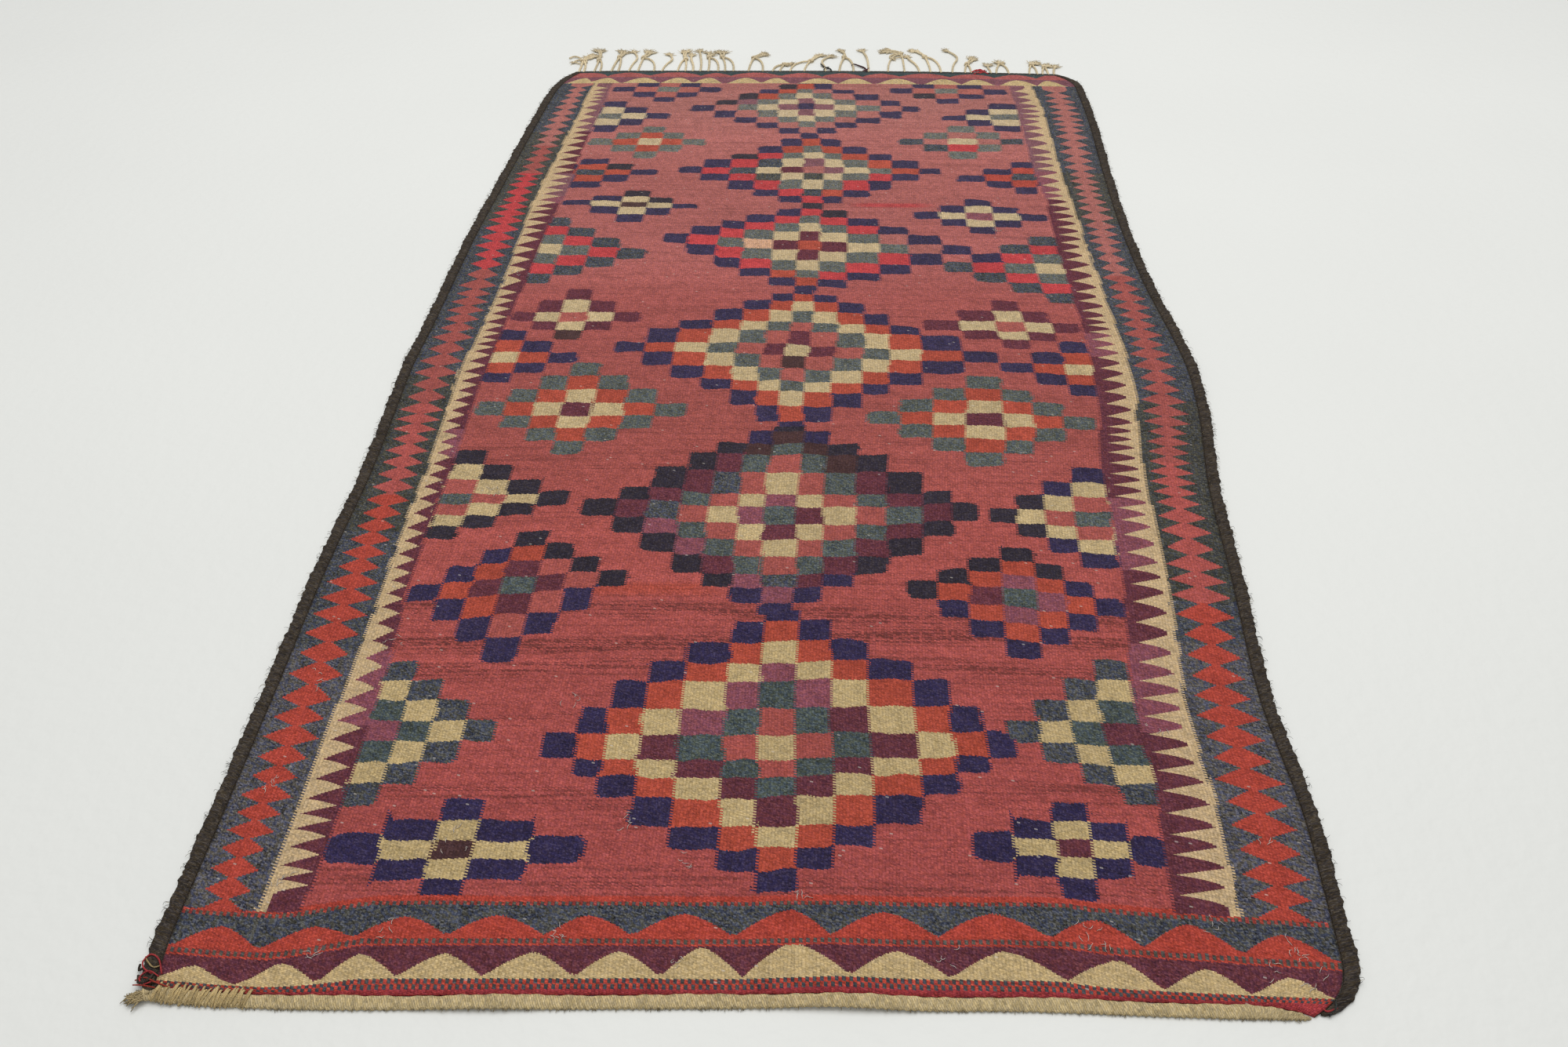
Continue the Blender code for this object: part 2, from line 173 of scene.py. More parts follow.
SMALL_LOZENGES = (
    # name, middle u and v, width of the middle check and of the left and right ones, height of the middle
    # check and of the far and near ones, fall to the right, yarns of the rings from the middle outwards
    ("L1", -421, 221, 55, 72, 76, 27, 34, 30, 0.0, "aubergine cream navy"),
    ("R1", 430, 229, 51, 57, 48, 27, 31, 32, 0.0, "aubergine cream navy"),
    ("L2", -574, 421, 52, 49, 49, 39, 38, 37, 0.0, "mauve green cream slate"),
    ("R2", 533, 425, 54, 49, 49, 40, 41, 34, 0.0, "aubergine green cream slate"),
    ("L3", -426, 722, 56, 49, 50, 38, 38, 50, 0.11, "green aubergine orange navy"),
    ("R3", 402, 697, 58, 52, 46, 42, 34, 37, -0.105, "green mauve orange navy"),
    ("L4", -583, 940, 54, 58, 58, 25, 42, 31, 0.0, "green pink cream black"),
    ("R4", 540, 900, 63, 50, 50, 37, 41, 35, 0.0, "green pink cream navy"),
    ("L5", -414, 1208, 56, 54, 60, 43, 46, 40, 0.0, "aubergine cream orange green"),
    ("R5", 355, 1180, 70, 62, 56, 40, 42, 41, -0.02, "aubergine cream orange green"),
    ("L6", -583, 1387, 54, 60, 60, 40, 42, 36, 0.0, "cream orange navy"),
    ("R6", 547, 1360, 54, 62, 62, 36, 42, 37, 0.0, "cream orange navy"),
    ("L7", -472, 1545, 56, 50, 56, 38, 48, 35, 0.0, "pink cream aubergine"),
    ("R7", 434, 1514, 58, 75, 56, 37, 44, 33, 0.0, "pink cream aubergine"),
    ("L8", -574, 1838, 54, 66, 66, 47, 42, 44, -0.12, "cream green crimson slate"),
    ("R8", 560, 1762, 62, 70, 70, 45, 43, 42, 0.0, "cream green crimson slate"),
    ("L9", -412, 2058, 65, 72, 62, 25, 30, 39, -0.06, "aubergine cream navy"),
    ("R9", 425, 2008, 62, 63, 66, 35, 34, 36, 0.0, "aubergine cream navy"),
    ("L10", -550, 2237, 75, 66, 66, 31, 32, 37, 0.0, "slate orange navy"),
    ("R10", 551, 2225, 60, 69, 69, 36, 35, 38, 0.12, "slate orange navy"),
    ("L11", -429, 2421, 60, 66, 59, 40, 39, 41, 0.0, "cream orange green"),
    ("R11", 403, 2433, 75, 66, 63, 35, 42, 44, 0.05, "cream rose green"),
    ("L12", -563, 2589, 64, 65, 65, 37, 41, 43, 0.0, "green cream navy"),
    ("R12", 527, 2598, 77, 68, 68, 34, 37, 40, 0.08, "green cream navy"),
    ("L13", -432, 2775, 60, 66, 62, 38, 35, 35, 0.0, "green pink navy"),
    ("R13", 375, 2773, 64, 66, 72, 38, 34, 35, 0.0, "green pink navy"),
)
EXCEPTIONS = (
    ("A", "mauve", ((0, 3), (-1, 2), (1, 2), (-2, 1))),
    ("B", "mauve", ((0, 1), (-1, 0), (-3, -2), (-1, -4), (0, -5), (-4, -1))),
    ("B", "umber", ((-1, 4), (1, 4), (2, 3), (0, 5))),
    ("B", "slate", ((-2, 2), (-4, 0), (0, -4))),
    ("C", "umber", ((0, -1),)),
    ("B", "navy", ((1, -5), (2, -4), (0, -6), (-1, -5), (1, 5), (-1, 5))),
    ("D", "pale", ((-2, 0),)),
    ("D", "rose", ((4, 0), (3, 1))),
    ("D", "orange", ((-1, -3), (0, -4))),
    ("D", "black", ((1, 4), (0, 5))),
    ("E", "bottle", ((0, -1), (-2, -1))),
    ("E", "slate", ((-3, 0), (-2, 1), (0, -3))),
    ("E", "black", ((-3, 2), (0, -5))),
    ("E", "aubergine", ((-1, 0),)),
    ("E", "orange", ((0, 4), (1, 3), (-1, 3), (2, 2), (3, 1), (4, 0), (1, -3))),
    ("F", "orange", ((0, 4), (-1, 3), (-2, 2))),
    ("F", "black", ((-3, 2), (-4, 1), (-1, 4))),
    ("L3", "pink", ((2, 0), (1, -1), (0, -2), (1, 1))),
    ("L3", "black", ((0, 3), (1, 2), (2, 1), (3, 0))),
    ("R3", "aubergine", ((-1, 0),)),
    ("R3", "black", ((-1, 2), (-2, 1), (-3, 0), (0, 3), (1, 2))),
    ("R4", "black", ((-3, 0), (-2, 1), (-2, -1))),
    ("L9", "black", ((0, 2), (1, 1))),
    ("R8", "navy", ((-2, 1),)),
    ("R9", "mauve", ((0, 0),)),
    ("R10", "brick", ((0, 1), (1, 0), (-1, 0), (0, -1))),
    ("R11", "crimson", ((0, -1),)),
    ("R11", "slate", ((-1, -1), (2, 0), (-2, 0))),
    ("F", "purple", ((-3, 1),)),
    ("L1", "umber", ((0, 0),)),
    ("L7", "umber", ((0, -2),)),
    ("L9", "umber", ((0, 0),)),
    ("L10", "black", ((1, 1),)),
    ("R13", "black", ((-1, -1),)),
)
LEFT_BORDER = (
    # v, then how far from the middle: the cream's outer edge, the spikes' points, the spikes' feet, the
    # field's edge, the middle of the rhombs; and the rhombs' half width
    (130, 657, 636, 603, 594, 702, 33), (200, 652, 636, 602, 594, 707, 30),
    (300, 655, 636, 603, 593, 704, 32), (400, 653, 636, 606, 593, 702, 36),
    (500, 650, 634, 606, 594, 702, 38), (600, 646, 628, 606, 596, 702, 39),
    (700, 648, 630, 612, 606, 700, 38), (800, 652, 638, 618, 609, 702, 34),
    (900, 656, 640, 621, 613, 703, 33), (1000, 656, 641, 624, 611, 704, 34),
    (1200, 660, 645, 625, 611, 706, 36), (1350, 659, 642, 616, 608, 703, 38),
    (1500, 652, 640, 614, 606, 702, 36), (1700, 647, 640, 611, 597, 698, 36),
    (1900, 654, 645, 609, 599, 703, 36), (2050, 659, 646, 608, 593, 703, 34),
    (2150, 660, 638, 600, 585, 706, 32), (2300, 657, 640, 598, 597, 700, 31),
    (2500, 654, 636, 606, 597, 699, 31), (2650, 655, 637, 613, 598, 697, 29),
    (2800, 660, 638, 614, 602, 695, 28),
)
RIGHT_BORDER = (
    # as on the left
    (130, 637, 620, 566, 551, 695, 38), (200, 636, 620, 566, 552, 695, 42),
    (300, 637, 618, 568, 556, 694, 42), (400, 639, 622, 572, 558, 696, 42),
    (500, 641, 626, 577, 562, 698, 40), (600, 648, 636, 588, 570, 700, 38),
    (700, 647, 630, 590, 572, 698, 42), (800, 648, 636, 592, 574, 698, 40),
    (900, 648, 633, 592, 573, 697, 40), (1000, 644, 628, 587, 571, 692, 36),
    (1100, 640, 622, 584, 564, 690, 34), (1200, 638, 620, 586, 566, 692, 37),
    (1300, 644, 624, 590, 572, 692, 36), (1400, 647, 626, 592, 574, 693, 36),
    (1500, 648, 628, 594, 578, 697, 35), (1600, 655, 636, 598, 585, 703, 34),
    (1700, 660, 644, 604, 590, 706, 32), (1850, 659, 640, 605, 591, 705, 32),
    (2000, 661, 647, 610, 592, 708, 34), (2100, 656, 636, 600, 595, 705, 34),
    (2250, 648, 634, 592, 580, 700, 33), (2350, 645, 630, 586, 575, 698, 40),
    (2500, 640, 618, 578, 568, 697, 38), (2650, 638, 620, 582, 565, 698, 38),
    (2800, 625, 598, 575, 561, 690, 36),
)
# Where the points of some rhombs and spikes lie: v, and the rhomb's or spike's number from the near end.
LEFT_RHOMBS = (
    (123, 0), (215, 3), (300, 6), (366, 8), (475, 11), (523, 12), (650, 15), (760, 18), (896, 22), (1004, 25),
    (1109, 28), (1202, 31), (1286, 33), (1370, 35), (1459, 37), (1566, 40), (1669, 43), (1763, 45),
    (1886, 48), (1973, 50), (2081, 53), (2166, 55), (2228, 57), (2353, 60), (2475, 63), (2608, 66),
    (2734, 69), (2806, 71),
)
RIGHT_RHOMBS = (
    (134, 0), (196, 2), (311, 5), (424, 8), (541, 11), (627, 13), (716, 15), (789, 17), (874, 19), (950, 21),
    (1036, 24), (1125, 27), (1217, 30), (1329, 33), (1420, 35), (1535, 38), (1644, 41), (1728, 43),
    (1859, 46), (1973, 49), (2062, 51), (2137, 53), (2245, 56), (2330, 58), (2429, 60), (2522, 62),
    (2591, 64), (2674, 66), (2794, 69),
)
LEFT_SPIKES = (
    (153, 0), (193, 2), (250, 4), (298, 6), (366, 8), (471, 11), (558, 13), (669, 16), (760, 19), (859, 22),
    (937, 24), (1036, 27), (1133, 30), (1234, 33), (1333, 36), (1407, 38), (1486, 41), (1585, 44), (1655, 46),
    (1712, 47), (1850, 50), (1900, 51), (2017, 54), (2047, 55), (2147, 58), (2264, 61), (2350, 63),
    (2441, 65), (2509, 67), (2598, 69), (2687, 71), (2737, 73), (2797, 75),
)
RIGHT_SPIKES = (
    (143, 0), (203, 2), (266, 4), (340, 6), (437, 9), (541, 12), (624, 14), (717, 16), (789, 18), (879, 20),
    (943, 22), (1038, 25), (1101, 27), (1177, 30), (1258, 32), (1343, 34), (1420, 36), (1485, 38), (1563, 41),
    (1681, 44), (1782, 46), (1864, 48), (1978, 51), (2091, 54), (2153, 56), (2252, 58), (2372, 61),
    (2479, 63), (2567, 65), (2671, 68), (2796, 71),
)
BORDER_FALL = 0.06      # how fast the rows of the right border fall outwards
BORDER_MIDDLE = 0.66    # where they lie at their tabled v, in metres
LEFT_BORDER_YARNS = (
    # from v onwards: rhombs, the ground round them, spikes
    (0, "brick", "steel", "aubergine"), (430, "brick", "steel", "mauve"),
    (580, "brick", "slate", "aubergine"), (850, "brick", "bottle", "aubergine"),
    (950, "red", "bottle", "aubergine"), (1060, "red", "bottle", "mauve"),
    (1140, "red", "bottle", "aubergine"), (1220, "madder", "bottle", "aubergine"),
    (1320, "madder", "slate", "aubergine"), (1740, "crimson", "slate", "aubergine"),
    (1950, "crimson", "bottle", "aubergine"), (2060, "crimson", "bottle", "mauve"),
    (2100, "crimson", "bottle", "purple"), (2230, "madder", "bottle", "aubergine"),
    (2400, "rose", "bottle", "aubergine"), (2480, "rose", "slate", "purple"),
)
RIGHT_BORDER_YARNS = (
    # from v onwards, as on the left
    (0, "brick", "steel", "aubergine"), (430, "brick", "steel", "mauve"),
    (610, "brick", "slate", "aubergine"), (700, "red", "bottle", "aubergine"),
    (770, "red", "bottle", "mauve"), (960, "red", "bottle", "aubergine"),
    (1060, "madder", "bottle", "aubergine"), (1250, "madder", "slate", "aubergine"),
    (1410, "madder", "slate", "mauve"), (1500, "madder", "slate", "aubergine"),
    (1740, "rose", "slate", "aubergine"), (1980, "rose", "bottle", "aubergine"),
    (2100, "rose", "bottle", "mauve"), (2260, "rose", "slate", "purple"),
)
END_DROP = (
    # u, how far the lines of the near end lie below their place at the middle
    (-775, 20), (-620, 20), (-500, 0), (400, 0), (450, 5), (750, 17),
)
CREAM_HILLS = (
    # u of the peak, v of the peak, u of the valley after it
    (-710, 70, -655), (-601, 76, -550), (-502, 72, -450), (-393, 71, -340), (-280, 73, -225),
    (-170, 74, -115), (-65, 81, -10), (52, 85, 127), (185, 75, 255), (325, 76, 402), (470, 76, 522),
    (580, 72, 635), (685, 69, 750),
)
RED_HILLS = (
    (-692, 125, -637), (-575, 121, -517), (-455, 122, -397), (-337, 125, -270), (-217, 125, -157),
    (-92, 128, -25), (47, 132, 102), (170, 130, 240), (310, 128, 387), (447, 128, 505), (565, 132, 630),
    (685, 126, 745),
)
FAR_SCALLOPS = (
    # u of the top, half width
    (-705, 40), (-630, 48), (-520, 55), (-415, 48), (-325, 42), (-215, 50), (-125, 42), (2, 58), (110, 50),
    (235, 58), (370, 55), (470, 48), (590, 55), (685, 42),
)
FAR_VALLEYS = (-634, -506, -353, -263, -114, 10, 131, 244, 390, 525, 656)
CREAM_FOOT, RED_FOOT = 40, 95               # v of the valleys between the near end's hills
CREAM_ROUNDNESS, RED_ROUNDNESS = 0.45, 0.55
FAR_START = 2822                            # v where the field gives way to the far end's cream scallops
FAR_SCALLOP_HEIGHT = 40
FAR_PURPLE = 2868                           # v where purple gives way to rose
FAR_VALLEY = 2872                           # v of the valleys between the rose hills
FAR_HILL_HEIGHT, FAR_HILL_HALF = 30, 55
FIELD_SHADES = (
    # v, red, green, blue: the dye of the field's yarn where one batch gives way to the next
    (0, 157, 74, 71), (850, 166, 82, 76), (1150, 155, 80, 74), (1620, 161, 85, 80), (1800, 170, 97, 92),
    (2000, 163, 94, 89), (2250, 165, 97, 91), (2450, 172, 104, 98), (2650, 164, 105, 98),
)
STREAKS = (
    # v, half height, strength: where dark wefts show among the field's
    (170, 25, 0.5), (310, 25, 0.6), (445, 12, 0.6), (545, 22, 0.8), (600, 25, 1.0), (660, 28, 0.9),
    (1040, 14, 0.4), (1090, 10, 0.3),
)
STREAK_SWAY = 12        # how far the streaks rise and fall across the rug
FIELD_PATCHES = (
    # u and v of the middle, half length, half height, yarn, strength
    (-210, 714, 135, 16, "orange", 0.75),
    (215, 2058, 110, 12, "crimson", 0.8),
)
CORNER_ENDS = (
    # yarn, thickness, points: u, v and height, in mm: yarn ends that have come loose at the near corners
    (
        "crimson", 2.3,
        ((-748, 34, 5), (-757, 52, 7), (-770, 58, 6), (-777, 48, 5), (-771, 38, 7), (-760, 33, 6)),
    ),
    ("crimson", 2.1, ((-750, 30, 6), (-764, 35, 8), (-774, 27, 6), (-768, 19, 5), (-757, 22, 7))),
    ("brick", 2.2, ((-780, 24, 3), (-768, 27, 6), (-752, 22, 7), (-735, 18, 6))),
    ("brick", 2.0, ((-781, 18, 3), (-768, 17, 6), (-750, 15, 7))),
    ("hair", 4.4, ((-764, 40, 4), (-770, 28, 5), (-766, 17, 4), (-756, 13, 5), (-750, 19, 5))),
    ("hair", 3.8, ((-757, 36, 5), (-762, 24, 7), (-774, 21, 4), (-778, 31, 3))),
    ("hair", 3.4, ((-770, 44, 4), (-779, 38, 3), (-781, 46, 2))),
    ("cream", 2.0, ((-777, 56, 3), (-769, 47, 7), (-760, 41, 7), (-752, 45, 5))),
    ("bottle", 2.6, ((757, 24, 5), (766, 14, 6), (771, 5, 3))),
    ("crimson", 2.2, ((746, 15, 6), (760, 10, 6), (769, 17, 4))),
)
FRINGE_ENDS = (
    # yarn, thickness, points: x and reach over the far edge, in mm: strays and tangles among the strands
    ("bottle", 4.6, ((38, -6), (34, 14), (16, 30), (4, 54))),
    ("bottle", 3.6, ((14, 8), (22, 26), (30, 30))),
    ("umber", 4.8, ((143, -6), (138, 22), (120, 42), (104, 54), (98, 44))),
    ("aubergine", 4.0, ((132, 2), (142, 10), (150, 24))),
    ("bottle", 4.0, ((468, -10), (484, 6), (502, 12))),
    ("crimson", 5.0, ((457, 2), (472, 18), (490, 10), (504, -8))),
    ("crimson", 4.6, ((462, -10), (480, 0), (497, 20))),
    ("crimson", 4.2, ((470, 8), (482, 24), (492, 6), (478, -6))),
    ("fringe", 5.0, ((-748, 66), (-736, 88), (-716, 92), (-706, 76), (-720, 62), (-742, 72))),
    ("fringe", 4.8, ((-764, 104), (-752, 118), (-736, 112), (-724, 96))),
    ("fringe", 5.0, ((228, 92), (214, 118), (234, 138), (252, 120), (230, 106))),
    ("fringe", 4.8, ((204, 146), (222, 162), (243, 156))),
    ("fringe", 4.6, ((-700, 100), (-690, 118), (-704, 130), (-716, 118))),
)
LINT = (
    # u and v of a tuft of lint in mm, its radius, how many fibres
    (430, 106, 14, 7), (455, 92, 8, 3), (702, 90, 18, 9), (716, 52, 12, 6), (672, 64, 12, 4),
    (690, 242, 9, 3), (-190, 270, 16, 6), (-100, 200, 14, 5), (458, 1935, 10, 5), (-480, 112, 14, 5),
    (-562, 64, 10, 5), (-250, 98, 16, 6), (62, 150, 16, 5), (-640, 165, 14, 6), (-706, 330, 20, 6),
    (-600, 600, 18, 5), (592, 430, 14, 5), (-300, 480, 16, 5), (-420, 236, 20, 7), (250, 72, 14, 4),
    (604, 128, 12, 5), (-90, 60, 14, 4), (-700, 520, 20, 5), (-520, 960, 18, 5), (420, 1080, 20, 4),
    (-640, 1720, 24, 5),
)


def dye(red, green, blue):
    """The linear colour of an sRGB colour given in steps of 255."""
    def straighten(step):
        share = step / 255
        return share / 12.92 if share <= 0.04045 else ((share + 0.055) / 1.055) ** 2.4
    return straighten(red), straighten(green), straighten(blue)


def colour_property(name, description, red, green, blue):
    return bpy.props.FloatVectorProperty(
        name=name, description=description, default=dye(red, green, blue), subtype="COLOR", size=3,
        min=0.0, max=1.0,
    )


def length_property(name, description, default):
    return bpy.props.FloatProperty(
        name=name, description=description, default=default, min=0.0, unit="LENGTH", precision=4,
    )


class KilimSizes(bpy.types.PropertyGroup):
    """The rug's sizes."""
    width: length_property("Width", "Width over the bound sides", 1.550)
    length: length_property("Length", "Length from the plaited end to the fringed edge", 2.915)
    cloth_thickness: length_property("Cloth", "Thickness of the woven cloth", 0.003)
    side_width: length_property("Side width", "Width of a bound side", 0.020)
    side_height: length_property("Side height", "Height of a bound side", 0.0055)
    band_depth: length_property("Band depth", "Depth of the plaited end", 0.0175)
    band_height: length_property("Band height", "Height of the plaited end", 0.006)
    band_taper: length_property("Band taper", "Length over which the plaited end thins out", 0.150)
    band_thinning: bpy.props.FloatProperty(
        name="Band thinning", description="Share of its depth that the plaited end loses", default=0.78,
        min=0.0, max=1.0,
    )
    warp_pitch: length_property("Warp pitch", "Distance from one warp to the next", 0.00465)
    float_height: length_property("Float height", "Height of one weft float", 0.0022)
    strand_width: length_property("Strand width", "Thickness of a fringe strand", 0.0060)
    wrap_pitch: length_property("Wrap pitch", "Distance between the wraps of a bound side", 0.0042)
    gap: length_property("Gap", "Distance between neighbouring pieces", 0.0005)


class KilimYarns(bpy.types.PropertyGroup):
    """The yarns' colours where the rug is least faded."""
    cream: colour_property("Cream", "Undyed wool", 181, 158, 112)
    pink: colour_property("Pink", "Checks in the field's own red", 157, 75, 70)
    rose: colour_property("Rose", "Faded red", 160, 88, 84)
    red: colour_property("Red", "Red of the rhombs at mid length", 166, 79, 74)
    madder: colour_property("Madder", "Dull red of the rhombs past mid length", 154, 77, 72)
    steel: colour_property("Steel", "Pale blue grey of the near borders", 80, 78, 82)
    orange: colour_property("Orange", "Madder orange", 166, 71, 55)
    brick: colour_property("Brick", "Red of the near rhombs and hills", 168, 66, 54)
    crimson: colour_property("Crimson", "Brightest red", 180, 66, 68)
    green: colour_property("Green", "Blue-green", 62, 73, 73)
    slate: colour_property("Slate", "Mixed blue and green", 70, 71, 75)
    bottle: colour_property("Bottle", "Dark green-black", 62, 62, 58)
    navy: colour_property("Navy", "Indigo", 48, 40, 70)
    black: colour_property("Black", "Indigo-black", 44, 38, 49)
    aubergine: colour_property("Aubergine", "Dark purple-red", 97, 50, 59)
    umber: colour_property("Umber", "Brown-black", 70, 46, 47)
    mauve: colour_property("Mauve", "Lighter purple-red", 128, 71, 82)
    purple: colour_property("Purple", "Dusty purple", 122, 78, 86)
    pale: colour_property("Pale", "Undyed wool, stained pink", 196, 152, 122)
    hair: colour_property("Goat hair", "Binding of the sides", 66, 58, 50)
    warp: colour_property("Warp", "Plaited end", 190, 170, 128)
    fringe: colour_property("Fringe", "Loose warp ends", 214, 197, 162)
    lint: colour_property("Lint", "Pale fibres that cling to the rug", 208, 200, 190)


HEATHER = {
    # how much a yarn's floats differ from each other; the rest have DEFAULT_HEATHER
    "slate": 1.0, "steel": 1.0, "bottle": 0.85, "green": 0.7, "navy": 0.45, "black": 0.4, "aubergine": 0.4,
    "mauve": 0.35, "purple": 0.3, "cream": 0.16, "hair": 0.6,
}
DEFAULT_HEATHER = 0.22
FADING = {
    # share of dust in a yarn's colour at the far end; the rest have DEFAULT_FADING
    "cream": 0.45, "green": 0.20, "pink": 0.12, "rose": 0.12, "aubergine": 0.0, "crimson": 0.0, "slate": 0.0,
}
DEFAULT_FADING = 0.04
DUST = dye(200, 182, 160)
BORDER_CREAM, HILL_CREAM = dye(190, 164, 126), dye(187, 163, 119)
DARK_WEFT, GREY_DOT = dye(62, 34, 32), dye(82, 78, 74)
DARK_BRICK, DARK_CRIMSON = dye(146, 60, 52), dye(156, 58, 62)
SPIKE_SINK, SPIKE_RISE = 0.004, 0.005   # how far the spikes reach past their feet and points
RHOMB_WAIST = 0.14      # how wide the rhombs still are where two of them meet
BRICK_REACH, BRICK_LINE = 0.152, 0.1465     # v up to which brick lies in the field, and also in the borders
HAIR_AND_SHADE_EDGE = 0.7555      # how far from the middle the dark band starts: the bound sides' hair, and painted shade beside them
STRAY_SHARE = 0.0012    # share of the floats that have a stray pale fibre
CLOTH_COLUMNS, CLOTH_ROWS = 150, 296        # faces of the cloth
CHECK_VARIATION = 0.07  # how far a check's brightness differs from its yarn's
HEADING_REACH = 0.02    # share of a thread's length over which its heading is taken
PLY_SINK = 0.4          # share of the depth of a thread's plies that lies below its own width
FLOOR_CLEARANCE = 0.0001
SIDE_STARTS = {-1: 0.019, 1: 0.006}     # v where the left and the right bound side start
SIDE_STOP = 0.001       # how far they stop before the far edge
SIDE_MIDDLE = 0.36      # share of their height at which they are widest
LOOSE_HAIRS = 420       # on each side
PLAIT_INSET = 0.006     # how far the plaited end starts from the left edge
PLAIT_ROWS = 3.0
PLAIT_MIDDLE = 0.40     # share of its height at which the plaited end is deepest
PLAIT_FIBRES, TUFT_FIBRES = 420, 60
WHIP_STITCHES, WHIP_START, WHIP_PITCH = 34, -0.752, 0.0036
ROOT_REACH = -0.003     # how far beyond the far edge the fringe's strands start


# --- Layout -------------------------------------------------------------------------------------------------

def smooth_table(rows, column, at):
    """Values of one column of a table at places along its first column, through a smooth curve."""
    keys = np.array([row[0] for row in rows], float)
    values = np.array([row[column] for row in rows], float)
    count = len(keys)
    low = np.maximum(np.arange(count) - 1, 0)
    high = np.minimum(np.arange(count) + 1, count - 1)
    slopes = (values[high] - values[low]) / (keys[high] - keys[low])
    at = np.clip(at, keys[0], keys[-1])
    i = np.clip(np.searchsorted(keys, at) - 1, 0, count - 2)
    step = keys[i + 1] - keys[i]
    t = (at - keys[i]) / step
    return (
        values[i] * (2 * t**3 - 3 * t**2 + 1)
        + slopes[i] * step * (t**3 - 2 * t**2 + t)
        + values[i + 1] * (3 * t**2 - 2 * t**3)
        + slopes[i + 1] * step * (t**3 - t**2)
    )


def straight_table(rows, column, at):
    """Values of one column of a table at places along its first column, on straight lines."""
    return np.interp(at, [row[0] for row in rows], [row[column] for row in rows])


def corner_shift(sizes, u, v):
    """How far the round corners draw places inwards, along x."""
    shift = np.zeros(np.broadcast(u, v).shape)
    for side, end, inset, reach in CORNERS:
        along = np.abs(v - end)
        inside = sizes.width / 2 - side * u
        share = np.clip((CORNER_RIGID + CORNER_SQUEEZE - inside) / CORNER_SQUEEZE, 0.0, 1.0)
        shift = shift - side * inset * np.clip(1 - along / reach, 0.0, 1.0) ** 3 * share
    return shift


def layout_point(sizes, u, v):
    """x and y of weave coordinates, as the layout tables count them."""
    left, right = smooth_table(SIDES, 1, v), smooth_table(SIDES, 2, v)
    near, far = smooth_table(ENDS, 1, u), smooth_table(ENDS, 2, u)
    x = left + (right - left) * (u / sizes.width + 0.5) + corner_shift(sizes, u, v)
    return x, near + (far - near) * v / sizes.length


def lift(x, y):
    """Height of the rug's underside over the floor."""
    height = np.zeros(np.broadcast(x, y).shape)
    for middle_x, middle_y, turn, half_length, half_width, rise in RIPPLES:
        angle = math.radians(turn)
        along = ((x - middle_x) * math.cos(angle) + (y - middle_y) * math.sin(angle)) / half_length
        across = (-(x - middle_x) * math.sin(angle) + (y - middle_y) * math.cos(angle)) / half_width
        crest = np.cos(np.clip(along, -1, 1) * math.pi / 2) * np.cos(np.clip(across, -1, 1) * math.pi / 2)
        height = height + rise * crest**2
    return height


def on_floor(sizes, u, v, z):
    """Places of weave coordinates and heights over the rug's underside, as rows of x, y, z."""
    u, v, z = np.broadcast_arrays(np.asarray(u, float), np.asarray(v, float), np.asarray(z, float))
    x, y = layout_point(sizes, u, v)
    return np.stack([x - LAYOUT_MIDDLE[0], y - LAYOUT_MIDDLE[1], lift(x, y) + z], axis=-1)


def band_depth(sizes, u):
    """Depth of the plaited end, which thins out towards the right."""
    left_of_taper = sizes.width / 2 - sizes.side_width - sizes.band_taper
    t = np.clip((u - left_of_taper) / sizes.band_taper, 0.0, 1.0)
    return sizes.band_depth * (1 - sizes.band_thinning * t * t)


# --- Pattern on the mesh ------------------------------------------------------------------------------------

def noise_value(*keys):
    """An even spread number from 0 to 1 that always belongs to the same keys."""
    total = sum(key * factor for key, factor in zip(keys, (12.9898, 78.233, 37.719, 4.581)))
    return math.sin(total) * 43758.5453 % 1.0


def faded(yarns, name, v, sizes, shade=1.0):
    """A yarn's colour at v, with the dust that lightens the rug towards its far end."""
    dust = FADING.get(name, DEFAULT_FADING) * np.clip(np.asarray(v) / sizes.length, 0, 1)[..., None]
    return np.array(getattr(yarns, name)) * shade * (1 - dust) + np.array(DUST) * dust


def yarn_of(yarns, name, shade=1.0):
    """Colour of a loose yarn, with its heather as a fourth value."""
    return (*(np.array(getattr(yarns, name)) * shade), HEATHER.get(name, DEFAULT_HEATHER))


def faded_yarn(yarns, name, v, sizes, shade=1.0):
    """Colour of a yarn woven in at v, with its heather as a fourth value."""
    return (*faded(yarns, name, v, sizes, shade), HEATHER.get(name, DEFAULT_HEATHER))


def edges_of(middle, middle_size, low_size, high_size, count):
    """Edges of count checks on both sides of a middle one."""
    low = [middle - middle_size / 2 - low_size * k for k in range(count, -1, -1)]
    return low + [middle + middle_size / 2 + high_size * k for k in range(count + 1)]


def count_checks(edges, place):
    """Places counted in checks, whole in the middle of every check, and the sizes of the checks."""
    edges = np.array(edges, float)
    check = np.clip(np.searchsorted(edges, place) - 1, 0, len(edges) - 2)
    size = edges[check + 1] - edges[check]
    return check + (place - edges[check]) / size - 0.5 - (len(edges) - 2) / 2, size


